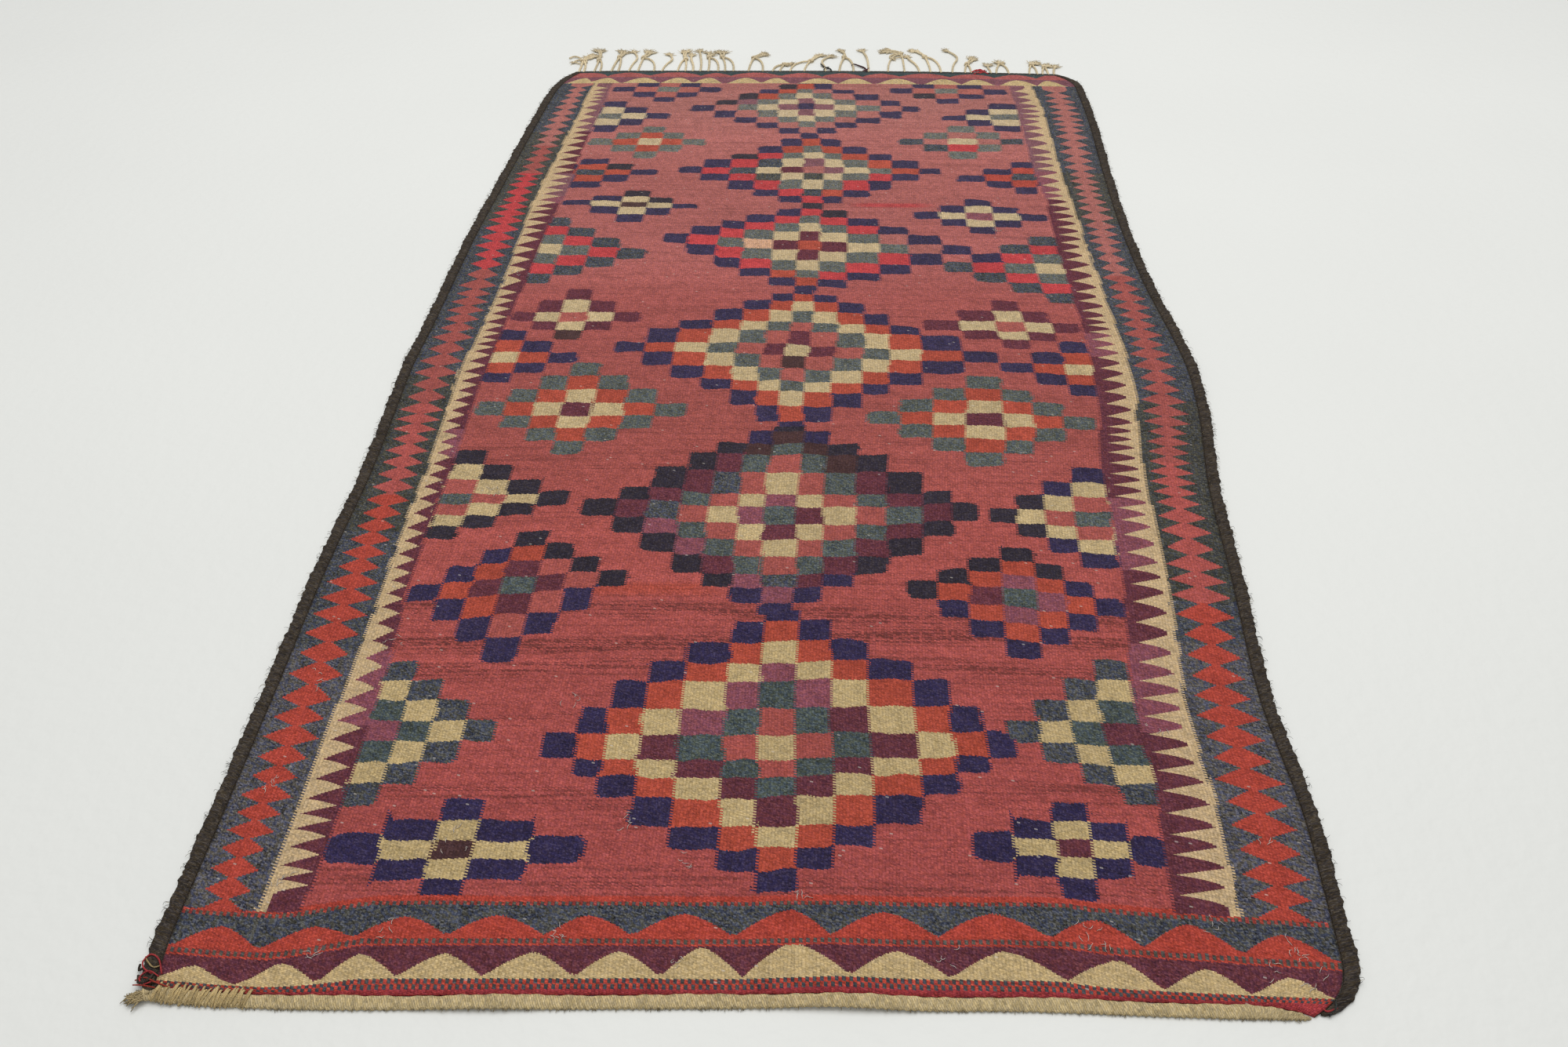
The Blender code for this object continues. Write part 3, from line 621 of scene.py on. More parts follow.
class Lozenge:
    """A lozenge of checks in rings of one yarn each."""

    def __init__(self, name, columns, rows, rises, sways, rings):
        self.name = name
        self.columns, self.rows = columns, rows
        self.rises, self.sways = rises, sways
        self.rings = rings.split()
        self.middle = (columns[0] + columns[-1]) / 2, (rows[0] + rows[-1]) / 2

    def counts(self, u, v):
        """Places in metres, counted in checks from the middle: across, along, and the sizes of the checks."""
        u, v = u / MM, v / MM
        near_middle = np.clip(1 - np.abs(u - self.middle[0]) / SWAY_REACH, 0, 1)
        across, width = count_checks(self.columns, u - straight_table(self.sways, 1, v) * near_middle)
        column_middle = u - (across - np.round(across)) * width
        rise_at = column_middle * ROW_STEPPING + u * (1 - ROW_STEPPING)
        along, height = count_checks(self.rows, v - straight_table(self.rises, 1, rise_at))
        at_tip = np.abs(across) > len(self.rings) - 1.5
        flatness = np.where(at_tip, TALL_TIPS.get(self.name, 1.0), 1.0)
        return across, along * flatness, width, height / flatness

    def yarn(self, column, row):
        """Name of the yarn of one check."""
        for name, yarn, checks in EXCEPTIONS:
            if name == self.name and (column, row) in checks:
                return yarn
        return self.rings[min(abs(column) + abs(row), len(self.rings) - 1)]


def all_lozenges():
    """The big and the small lozenges of the tables."""
    found = [
        Lozenge(name, columns, rows, RISES[name], SWAYS[name], rings)
        for name, columns, rows, rings in BIG_LOZENGES
    ]
    for name, u, v, middle_w, left_w, right_w, middle_h, far_h, near_h, fall, rings in SMALL_LOZENGES:
        count = len(rings.split()) - 1
        columns = edges_of(u, middle_w, left_w, right_w, count)
        rows = edges_of(v, middle_h, near_h, far_h, count)
        rises = ((u - SLOPE_REACH, -SLOPE_REACH * fall), (u + SLOPE_REACH, SLOPE_REACH * fall))
        found.append(Lozenge(name, columns, rows, rises, ((v, 0), (v + 1, 0)), rings))
    return found


def check_yarn(yarns, sizes, lozenge, number, column, row):
    """Colour and heather of a check, a little lighter or darker than its yarn."""
    shade = 1 + CHECK_VARIATION * (2 * noise_value(number, column, row) - 1)
    return faded_yarn(yarns, lozenge.yarn(column, row), lozenge.middle[1] * MM, sizes, shade)


def pattern_values(yarns, sizes, u, v):
    """A face is smaller than a check, so no more than three rings meet in it, and the three colours are in
    the order of the rings' numbers, modulo 3."""
    lozenges = all_lozenges()
    face_u, face_v = u.mean(axis=1), v.mean(axis=1)
    nearest = np.full(face_u.shape, np.inf)
    number = np.zeros(face_u.shape, int)
    for k, lozenge in enumerate(lozenges):
        across, along, width, _ = lozenge.counts(face_u, face_v)
        outside = (np.abs(across) + np.abs(along) - len(lozenge.rings)) * width
        closer = outside < nearest
        nearest = np.where(closer, outside, nearest)
        number = np.where(closer, k, number)
    counts = np.zeros((*u.shape, 3))
    check_sizes = np.zeros((len(face_u), 3))
    colours = np.zeros((3, len(face_u), 4))
    for k, lozenge in enumerate(lozenges):
        mine = np.flatnonzero(number == k)
        across, along, _, _ = lozenge.counts(u[mine], v[mine])
        counts[mine] = np.stack([across, along, np.full(across.shape, len(lozenge.rings))], axis=-1)
        across, along, width, height = lozenge.counts(face_u[mine], face_v[mine])
        check_sizes[mine, :2] = np.stack([width, height], axis=-1) * MM
        known = {}
        for i, at, on in zip(mine, across, along):
            if nearest[i] > CHECKS_REACH:
                continue
            reach = {}
            for column in range(math.floor(at), math.floor(at) + 2):
                for row in range(math.floor(on), math.floor(on) + 2):
                    away = (at - column) ** 2 + (on - row) ** 2
                    ring = (abs(column) + abs(row)) % 3
                    if away < reach.get(ring, (math.inf,))[0]:
                        reach[ring] = (away, column, row)
            for ring, (_, column, row) in reach.items():
                if (column, row) not in known:
                    known[column, row] = check_yarn(yarns, sizes, lozenge, k, column, row)
                colours[ring, i] = known[column, row]
    return counts, check_sizes, colours


def hills(rows, base, roundness, u):
    """The outline of a row of hills at u. Full roundness makes them domes, none makes them straight."""
    outline = np.full(u.shape, float(base))
    valley_before = 2 * rows[0][0] - rows[0][2]
    for peak_u, peak_v, valley_u in rows:
        half = np.where(u < peak_u, peak_u - valley_before, valley_u - peak_u)
        away = np.clip(np.abs(u - peak_u) / half, 0, 1)
        domed = 1 - away ** (1 + roundness) * (1 - 0.25 * roundness) - away * 0.25 * roundness
        outline = np.maximum(outline, base + (peak_v - base) * domed)
        valley_before = valley_u
    return outline


def field_colours(yarns, sizes, u, v):
    """Colour of the field at each vertex, and how strongly dark wefts streak it."""
    shades = [(row[0], *dye(*row[1:])) for row in FIELD_SHADES]
    colour = np.stack([straight_table(shades, k, v / MM) for k in (1, 2, 3)], axis=-1)
    for middle_u, middle_v, half_length, half_height, name, strength in FIELD_PATCHES:
        away = np.maximum(np.abs(u / MM - middle_u) / half_length, np.abs(v / MM - middle_v) / half_height)
        share = strength * np.clip(2 * (1 - away), 0, 1)[..., None]
        colour = colour * (1 - share) + faded(yarns, name, v, sizes) * share
    streak = np.zeros(u.shape)
    for middle_v, half_height, strength in STREAKS:
        away = np.abs(v / MM - middle_v + STREAK_SWAY * np.sin(u * 5 + middle_v)) / half_height
        streak = np.maximum(streak, strength * np.clip(1.5 * (1 - away), 0, 1))
    return np.concatenate([colour, streak[..., None]], axis=-1)


def border_colours(yarns, sizes, u, v):
    """Colours of the rhombs, their ground and the spikes for each face, each with its yarn's heather."""
    found = []
    for part in (1, 2, 3):
        colour = np.zeros((len(u), 4))
        for rows, side in ((LEFT_BORDER_YARNS, -1), (RIGHT_BORDER_YARNS, 1)):
            starts = [row[0] * MM for row in rows] + [np.inf]
            for row, start, end in zip(rows, starts, starts[1:]):
                inside = (u * side > 0) & (v >= start) & (v < end)
                colour[inside, :3] = faded(yarns, row[part], v[inside], sizes)
                colour[inside, 3] = HEATHER.get(row[part], DEFAULT_HEATHER)
        found.append(colour)
    return found


def by_side(u, v, left_rows, right_rows, column):
    """Values of a column from the left or the right table, whichever side a place is on."""
    left, right = (straight_table(rows, column, v / MM) for rows in (left_rows, right_rows))
    return np.where(u < 0, left, right)


def border_lines(u, v):
    """For each vertex: the border's lines, the field's edge with the counts of spikes and rhombs, and the
    rhombs' middle and half width."""
    lines = [MM * by_side(u, v, LEFT_BORDER, RIGHT_BORDER, column) for column in range(1, 7)]
    level = v + BORDER_FALL * (u - BORDER_MIDDLE) * (u > 0)
    spikes = by_side(u, level, LEFT_SPIKES, RIGHT_SPIKES, 1)
    rhombs = by_side(u, level, LEFT_RHOMBS, RIGHT_RHOMBS, 1)
    return {
        "border_lines": np.stack(lines[:3], axis=-1),
        "border_counts": np.stack([lines[3], spikes, rhombs], axis=-1),
        "rhomb_column": np.stack([lines[4], lines[5], np.zeros(u.shape)], axis=-1),
    }


def end_lines(u):
    """For each vertex: tops of the cream and red hills, the drop of the near end's lines, and the far end's
    lines."""
    cream = hills(CREAM_HILLS, CREAM_FOOT, CREAM_ROUNDNESS, u / MM)
    red = hills(RED_HILLS, RED_FOOT, RED_ROUNDNESS, u / MM)
    drop = straight_table(END_DROP, 1, u / MM)
    scallop = np.zeros(u.shape)
    for top, half in FAR_SCALLOPS:
        scallop = np.maximum(scallop, np.cos(np.clip((u / MM - top) / half, -1, 1) * math.pi / 2))
    valley = np.min([np.abs(u / MM - place) for place in FAR_VALLEYS], axis=0)
    rise = np.sqrt(np.clip(valley / FAR_HILL_HALF, 0, 1))
    cream_top = FAR_START + FAR_SCALLOP_HEIGHT * scallop
    rose_top = FAR_VALLEY + FAR_HILL_HEIGHT * rise
    return {
        "near_lines": MM * np.stack([cream, red, drop], axis=-1),
        "far_lines": MM * np.stack([cream_top, rose_top, np.zeros(u.shape)], axis=-1),
    }


# --- Meshes -------------------------------------------------------------------------------------------------

def new_piece(name, mesh, material):
    """An object for a finished mesh, riding on the rug."""
    mesh.materials.append(material)
    piece = bpy.data.objects.new(name, mesh)
    bpy.context.scene.collection.objects.link(piece)
    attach(piece, "root")
    return piece


def coordinates(mesh):
    places = np.empty(len(mesh.vertices) * 3)
    mesh.vertices.foreach_get("co", places)
    return places.reshape(-1, 3)


def corner_vertices(mesh):
    """Which vertex each corner of the faces has."""
    corners = np.empty(len(mesh.loops), int)
    mesh.loops.foreach_get("vertex_index", corners)
    return corners


def set_map(mesh, name, vertex_values):
    """A UV map from two values for each vertex."""
    layer = mesh.uv_layers.new(name=name)
    layer.data.foreach_set("uv", vertex_values[corner_vertices(mesh)].astype(np.float32).ravel())


def set_attribute(mesh, name, kind, domain, values):
    """An attribute of colours or vectors, one for each vertex, face or corner of a face."""
    field = {"FLOAT_VECTOR": "vector", "FLOAT_COLOR": "color"}[kind]
    attribute = mesh.attributes.new(name, kind, domain)
    attribute.data.foreach_set(field, np.asarray(values, np.float32).ravel())


def wobble(at, *waves):
    """An uneven line made of sine waves, each given as length and height."""
    return sum(height * np.sin(at * math.tau / length + 1.7 * k) for k, (length, height) in enumerate(waves))


class Rod:
    """A round rod with rings of vertices, made once for each number of sides and rings, and bent to shape."""

    made = {}

    def __init__(self, sides, rings):
        builder = bmesh.new()
        bmesh.ops.create_cone(builder, cap_ends=True, segments=sides, radius1=1.0, radius2=1.0, depth=1.0)
        lengthwise = [edge for edge in builder.edges if abs(edge.verts[0].co.z - edge.verts[1].co.z) > 0.5]
        bmesh.ops.subdivide_edges(builder, edges=lengthwise, cuts=rings - 2, use_grid_fill=True)
        self.mesh = finish_mesh("rod", builder)
        places = coordinates(self.mesh)
        self.turn = np.arctan2(places[:, 1], places[:, 0]) / math.tau
        self.along = places[:, 2] + 0.5
        corners = corner_vertices(self.mesh)
        totals = np.empty(len(self.mesh.polygons), int)
        self.mesh.polygons.foreach_get("loop_total", totals)
        first = np.repeat(self.turn[corners[np.cumsum(totals) - totals]], totals)
        self.corner_turn = first + (self.turn[corners] - first + 0.5) % 1.0 - 0.5
        self.corners = corners
        set_map(self.mesh, "Thread", np.zeros((len(places), 2)))
        set_attribute(self.mesh, "yarn", "FLOAT_COLOR", "POINT", np.zeros((len(places), 4)))

    @classmethod
    def of(cls, sides, rings):
        if (sides, rings) not in cls.made:
            cls.made[sides, rings] = cls(sides, rings)
        return cls.made[sides, rings]

    def shape(self, builder, places, length, yarn):
        """Adds the rod to builder, with its vertices at the places, its length along it and its yarn."""
        self.mesh.vertices.foreach_set("co", places.astype(np.float32).ravel())
        thread = np.stack([self.corner_turn, self.along[self.corners] * length], axis=-1)
        self.mesh.uv_layers["Thread"].data.foreach_set("uv", thread.astype(np.float32).ravel())
        colour = np.tile(np.asarray(yarn, np.float32), len(places))
        self.mesh.attributes["yarn"].data.foreach_set("color", colour)
        builder.from_mesh(self.mesh)


def unit(vectors):
    """Vectors made one metre long."""
    return vectors / np.linalg.norm(vectors, axis=-1, keepdims=True)


def bulge(phase, power=2):
    """0 where the phase is 0 or 1, and 1 halfway; a higher power makes it flatter on top."""
    return 1 - (2 * phase - 1) ** power


def rounded(close):
    """0 at an end and 1 well inside it, in a quarter of a circle."""
    return np.sqrt(1 - (1 - close) ** 2)


def curve_through(points, share):
    """Places on the smooth curve through the points, at shares of its length, and the curve's length."""
    points = np.asarray(points, float)
    steps = np.linalg.norm(np.diff(points, axis=0), axis=1)
    keys = np.concatenate([[0.0], np.cumsum(steps)])
    rows = np.column_stack([keys / keys[-1], points])
    return np.stack([smooth_table(rows, k, share) for k in (1, 2, 3)], axis=-1), keys[-1]


def lay_thread(builder, points, widths, yarn, sides=6, rings=10, flat=1.0, plies=0.0, ply_pitch=0.009):
    """A thread along a curve, with its widths spread evenly over it and its twisted plies cut plies deep."""
    rod = Rod.of(sides, rings)
    share = rod.along
    centre, length = curve_through(points, share)
    ahead = curve_through(points, np.clip(share + HEADING_REACH, 0, 1))[0]
    behind = curve_through(points, np.clip(share - HEADING_REACH, 0, 1))[0]
    heading = unit(ahead - behind)
    sideways = np.cross(heading, (0.0, 0.0, 1.0))
    steep = np.linalg.norm(sideways, axis=1) < 0.05
    sideways[steep] = (1.0, 0.0, 0.0)
    sideways = unit(sideways)
    upward = np.cross(sideways, heading)
    radius = np.interp(share, np.linspace(0, 1, len(widths)), widths) / 2
    angle = rod.turn * math.tau
    twist = 2 * (angle - math.tau * share * length / ply_pitch / 2)
    radius = radius * (1 + plies * (np.cos(twist) - PLY_SINK))
    places = centre + sideways * (radius * np.cos(angle))[:, None]
    places += upward * (radius * np.sin(angle) * flat)[:, None]
    places[:, 2] = np.maximum(places[:, 2], FLOOR_CLEARANCE)
    rod.shape(builder, places, length, yarn)


def lay_on_rug(builder, sizes, stops, widths, yarn, sides, rings, **form):
    """A thread along stops given as u, v and height over the rug's underside."""
    lay_thread(builder, [on_floor(sizes, *stop) for stop in stops], widths, yarn, sides, rings, **form)


def finish_mesh(name, builder):
    """A smooth mesh of what the builder holds."""
    mesh = bpy.data.meshes.new(name)
    builder.to_mesh(mesh)
    builder.free()
    mesh.shade_smooth()
    return mesh


def make_cloth_mesh(sizes, yarns):
    """The cloth's upper face as a grid that carries its weave coordinates and its pattern."""
    builder = bmesh.new()
    bmesh.ops.create_grid(builder, x_segments=CLOTH_COLUMNS, y_segments=CLOTH_ROWS, size=1.0)
    mesh = finish_mesh("kilim_cloth_woven", builder)
    flat = coordinates(mesh)
    u = flat[:, 0] * (sizes.width / 2 - sizes.side_width - sizes.gap)
    start = band_depth(sizes, u) + sizes.gap
    v = start + (sizes.length - start) * (flat[:, 1] + 1) / 2
    places = on_floor(sizes, u, v, sizes.cloth_thickness)
    mesh.vertices.foreach_set("co", places.astype(np.float32).ravel())
    set_map(mesh, "OFBake", (flat[:, :2] + 1) / 2)
    set_map(mesh, "Weave", np.stack([u, v], axis=-1))
    corners = corner_vertices(mesh).reshape(-1, 4)
    face_u, face_v = u[corners].mean(axis=1), v[corners].mean(axis=1)
    counts, check_sizes, checks = pattern_values(yarns, sizes, u[corners], v[corners])
    set_attribute(mesh, "check_counts", "FLOAT_VECTOR", "CORNER", counts)
    set_attribute(mesh, "check_size", "FLOAT_VECTOR", "FACE", check_sizes)
    for k in range(3):
        set_attribute(mesh, f"check_{k}", "FLOAT_COLOR", "FACE", checks[k])
    for name, colour in zip(("rhomb", "ground", "spike"), border_colours(yarns, sizes, face_u, face_v)):
        set_attribute(mesh, name, "FLOAT_COLOR", "FACE", colour)
    set_attribute(mesh, "field", "FLOAT_COLOR", "POINT", field_colours(yarns, sizes, u, v))
    for name, values in {**border_lines(u, v), **end_lines(u)}.items():
        set_attribute(mesh, name, "FLOAT_VECTOR", "POINT", values)
    return mesh


# --- Shader trees written as formulas -----------------------------------------------------------------------

def arithmetic(operation, turned=False):
    """A method of a wire that adds a Math node. It is turned where the wire is the second value."""
    def method(self, other):
        return self.draft.math(operation, *((other, self) if turned else (self, other)))
    return method


class Wire:
    """A number that a node puts out. Arithmetic with it adds Math nodes to its tree."""

    def __init__(self, draft, socket):
        self.draft = draft
        self.socket = socket

    __add__ = __radd__ = arithmetic("ADD")
    __sub__ = arithmetic("SUBTRACT")
    __rsub__ = arithmetic("SUBTRACT", turned=True)
    __mul__ = __rmul__ = arithmetic("MULTIPLY")
    __truediv__ = arithmetic("DIVIDE")
    __lt__ = arithmetic("LESS_THAN")
    __gt__ = arithmetic("GREATER_THAN")

    def floor(self):
        return self.draft.math("FLOOR", self)

    def part(self):
        return self.draft.math("FRACT", self)

    def size(self):
        return self.draft.math("ABSOLUTE", self)

    def modulo(self, count):
        return self - (self / count).floor() * count


class Draft:
    """Adds nodes to a shader tree, in columns from left to right."""

    ROWS = 9

    def __init__(self, tree):
        self.tree = tree
        self.count = 0

    def node(self, kind, **settings):
        made = self.tree.nodes.new(kind)
        made.location = (self.count // self.ROWS * 190 - 2400, self.count % self.ROWS * -190)
        self.count += 1
        for name, value in settings.items():
            setattr(made, name, value)
        return made

    def feed(self, socket, value):
        if isinstance(value, Wire):
            self.tree.links.new(value.socket, socket)
        elif isinstance(value, bpy.types.NodeSocket):
            self.tree.links.new(value, socket)
        else:
            socket.default_value = value

    def math(self, operation, *values):
        made = self.node("ShaderNodeMath", operation=operation)
        for socket, value in zip(made.inputs, values):
            self.feed(socket, value)
        return Wire(self, made.outputs[0])

    def choose(self, condition, yes, no):
        """yes where the condition is 1, no where it is 0."""
        made = self.node("ShaderNodeMix", data_type="FLOAT")
        for socket, value in zip((made.inputs[0], made.inputs[2], made.inputs[3]), (condition, no, yes)):
            self.feed(socket, value)
        return Wire(self, made.outputs[0])

    def blend(self, factor, first, second, mode="MIX"):
        """The first colour, going over into the second one."""
        made = self.node("ShaderNodeMix", data_type="RGBA", blend_type=mode)
        for socket, value in zip((made.inputs[0], made.inputs[6], made.inputs[7]), (factor, first, second)):
            self.feed(socket, value)
        return made.outputs[2]

    def ramp(self, value, low, high):
        """0 below low, 1 above high, smooth in between."""
        made = self.node("ShaderNodeMapRange", interpolation_type="SMOOTHSTEP")
        self.feed(made.inputs["Value"], value)
        self.feed(made.inputs["From Min"], low)
        self.feed(made.inputs["From Max"], high)
        return Wire(self, made.outputs["Result"])

    def vector(self, x, y, z=0.0):
        made = self.node("ShaderNodeCombineXYZ")
        for socket, value in zip(made.inputs, (x, y, z)):
            self.feed(socket, value)
        return made.outputs[0]

    def parts(self, vector):
        made = self.node("ShaderNodeSeparateXYZ")
        self.feed(made.inputs[0], vector)
        return [Wire(self, socket) for socket in made.outputs]

    def scaled(self, colour, factor):
        """A colour made brighter or darker."""
        made = self.node("ShaderNodeVectorMath", operation="SCALE")
        self.feed(made.inputs[0], colour)
        self.feed(made.inputs["Scale"], factor)
        return made.outputs[0]

    def noise(self, vector, scale, detail=2.0, roughness=0.5):
        made = self.node("ShaderNodeTexNoise", noise_dimensions="2D")
        self.feed(made.inputs["Vector"], vector)
        self.feed(made.inputs["Scale"], scale)
        self.feed(made.inputs["Detail"], detail)
        self.feed(made.inputs["Roughness"], roughness)
        return Wire(self, made.outputs["Fac"])

    def speckle(self, vector):
        """A number from 0 to 1 that is the same wherever the vector is."""
        made = self.node("ShaderNodeTexWhiteNoise", noise_dimensions="2D")
        self.feed(made.inputs["Vector"], vector)
        return Wire(self, made.outputs["Value"])

    def waver(self, vector, scale, width):
        """A slow drift to both sides."""
        return (self.noise(vector, scale, detail=1.0) - 0.5) * width

    def measures(self, name):
        """The three numbers of an attribute."""
        return self.parts(self.node("ShaderNodeAttribute", attribute_name=name).outputs["Vector"])

    def yarn(self, name):
        """An attribute's colour, and the number it has as a fourth value."""
        found = self.node("ShaderNodeAttribute", attribute_name=name).outputs
        return found["Color"], Wire(self, found["Alpha"])

    def cover(self, mask, below, above):
        """Colour and heather of the yarn above where mask is 1, of the yarn below elsewhere."""
        return self.blend(mask, below[0], above[0]), self.choose(mask, above[1], below[1])

    def group(self, tree, **values):
        made = self.node("ShaderNodeGroup", node_tree=tree)
        for name, value in values.items():
            self.feed(made.inputs[name], value)
        return made.outputs


def new_group(name, inputs, outputs):
    """A shader node group with named sockets: its tree, its draft, its inputs by name and its output node."""
    tree = bpy.data.node_groups.new(name, "ShaderNodeTree")
    for socket_name, kind in inputs.items():
        tree.interface.new_socket(socket_name, in_out="INPUT", socket_type=kind)
    for socket_name, kind in outputs.items():
        tree.interface.new_socket(socket_name, in_out="OUTPUT", socket_type=kind)
    draft = Draft(tree)
    given = draft.node("NodeGroupInput").outputs
    result = draft.node("NodeGroupOutput")
    wires = {
        socket_name: Wire(draft, given[socket_name]) if kind == "NodeSocketFloat" else given[socket_name]
        for socket_name, kind in inputs.items()
    }
    return tree, draft, wires, result


COOL_FIBRE, WARM_FIBRE = (0.78, 0.92, 1.42, 1.0), (1.22, 1.12, 0.74, 1.0)
PALE_FIBRE = (0.050, 0.050, 0.042, 1.0)


def opaque(colour):
    return (*colour, 1.0)


def heather_group():
    """Colour of spun wool at a place, in fibres: uneven in tone, flecked with paler and darker fibres."""
    name = "Heathered Wool"
    if name in bpy.data.node_groups:
        return bpy.data.node_groups[name]
    inputs = {
        "Colour": "NodeSocketColor", "Fibre": "NodeSocketVector", "Float": "NodeSocketVector",
        "Heather": "NodeSocketFloat",
    }
    tree, draft, wires, result = new_group(name, inputs, {"Colour": "NodeSocketColor"})
    fibre, heather = wires["Fibre"], wires["Heather"]
    speck = draft.speckle(wires["Float"])
    fleck = draft.noise(fibre, 1.0, detail=2.0, roughness=0.65)
    drift = draft.noise(fibre, 0.11, detail=1.0)
    floats_differ = (speck - 0.5) * (heather * 0.44 + 0.30)
    wool_drifts = (drift - 0.5) * (heather * 0.5 + 0.26)
    fibres_differ = (fleck - 0.5) * (heather * 1.5 + 0.95)
    colour = draft.scaled(wires["Colour"], 1.0 + floats_differ + wool_drifts + fibres_differ)
    hue = draft.ramp(draft.noise(draft.scaled(fibre, 0.45), 1.0, detail=1.0), 0.38, 0.62)
    tinted = draft.blend(1.0, colour, draft.blend(hue, COOL_FIBRE, WARM_FIBRE), "MULTIPLY")
    colour = draft.blend(draft.math("MINIMUM", heather * 0.8, 1.0), colour, tinted)
    paler = draft.blend(1.0, draft.scaled(wires["Colour"], 1.7), PALE_FIBRE, "ADD")
    mixed = fleck * 0.75 + speck * 0.25
    colour = draft.blend(draft.ramp(mixed, 0.56, 0.70) * heather * 0.85, colour, paler)
    draft.feed(result.inputs["Colour"], colour)
    return tree


def new_material(name, roughness=0.92, gloss=0.12):
    """A material, a draft for its tree and its Principled shader."""
    material = bpy.data.materials.new(name)
    material.use_nodes = True
    shader = material.node_tree.nodes["Principled BSDF"]
    shader.location = (1500, 0)
    material.node_tree.nodes["Material Output"].location = (1800, 0)
    shader.inputs["Roughness"].default_value = roughness
    shader.inputs["Specular IOR Level"].default_value = gloss
    return material, Draft(material.node_tree), shader


def raise_surface(draft, shader, height, distance):
    """Feeds a height in shares of distance to the shader as a bump."""
    bump = draft.node("ShaderNodeBump")
    bump.inputs["Strength"].default_value = 1.0
    bump.inputs["Distance"].default_value = distance
    draft.feed(bump.inputs["Height"], height)
    draft.feed(shader.inputs["Normal"], bump.outputs[0])


def zigzag(draft, count, near_share, far_power, near_power):
    """1 at whole counts and 0 in between. The near side of each point takes near_share of the pitch, and each
    side falls off as a power of the way from the point."""
    t = count.part()
    far_share = 1.0 - near_share
    on_far = t < far_share
    away = draft.choose(on_far, t / far_share, (1.0 - t) / near_share)
    power = draft.choose(on_far, far_power, near_power)
    return 1.0 - draft.math("POWER", draft.math("MAXIMUM", away, 0.0), power)


class WeavePlace:
    """A place in the weave: u and v, its weft float, and where the float reads the pattern."""

    def __init__(self, draft, sizes):
        self.weave = draft.node("ShaderNodeUVMap", uv_map="Weave").outputs[0]
        self.u, self.v, _ = draft.parts(self.weave)
        self.beaten = self.v + (draft.waver(self.weave, 2.2, 0.010) + draft.waver(self.weave, 16.0, 0.0022))
        warp = self.u / sizes.warp_pitch
        self.column = warp.floor()
        self.across = warp.part() - 0.5
        self.odd = self.column.modulo(2.0)
        weft = self.beaten / sizes.float_height + self.odd * 0.5 + self.across * 0.5
        self.row = weft.floor()
        self.along = weft.part() - 0.5
        # The float's middle, and the same with every other float of a colour join turned one warp further.
        self.float_u = (self.column + 0.5) * sizes.warp_pitch
        self.float_v = (self.row + 0.5 - self.odd * 0.5) * sizes.float_height
        turned = (self.row.modulo(2.0) - 0.5) * sizes.warp_pitch
        self.join_u = self.float_u + turned + draft.waver(self.weave, 17.0, 0.010)
        self.motif_v = self.float_v + draft.waver(draft.vector(self.v, self.u), 19.0, 0.011)


def lozenge_yarns(draft, place):
    """Where the lozenges' checks are, and their yarns."""
    across_counts, along_counts, rings = draft.measures("check_counts")
    check_width, check_height, _ = draft.measures("check_size")
    across = (across_counts + (place.join_u - place.u) / check_width).size()
    along = (along_counts + (place.motif_v - place.v) / check_height).size()
    columns, rows = (across + 0.5).floor(), (along + 0.5).floor()
    ring = columns + rows
    third = ring.modulo(3.0)
    checks = [draft.yarn(f"check_{k}") for k in range(3)]
    yarn = draft.cover(third > 0.5, checks[0], checks[1])
    yarn = draft.cover(third > 1.5, yarn, checks[2])
    # The corners of the outermost checks are worn round.
    full_across, full_along = 0.34, 0.27
    worn_across = draft.math("MAXIMUM", across - columns - full_across, 0.0) * 5.2
    worn_along = draft.math("MAXIMUM", along - rows - full_along, 0.0) * 3.6
    worn = (worn_across * worn_across + worn_along * worn_along > 0.70) * (ring > rings - 1.5)
    return (ring < rings - 0.5) * (1.0 - worn), yarn


def field_yarn(draft, place):
    """The field, in bands of slightly different dye, with dark wefts that show as rows of dashes."""
    colour, strength = draft.yarn("field")
    bands = draft.vector(place.u * 0.8, place.beaten * 26.0)
    colour = draft.scaled(colour, 0.81 + draft.noise(bands, 1.0, detail=3.0, roughness=0.7) * 0.38)
    streak = draft.noise(draft.vector(place.u * 3.2, place.row * 0.83), 1.0, detail=2.0, roughness=0.6)
    dashes = draft.speckle(draft.vector(place.column, place.row)) > 0.36
    dark = draft.ramp(streak + strength * 0.17, 0.590, 0.65) * dashes
    return draft.blend(dark * (0.40 + strength * 0.30), colour, opaque(DARK_WEFT)), DEFAULT_HEATHER


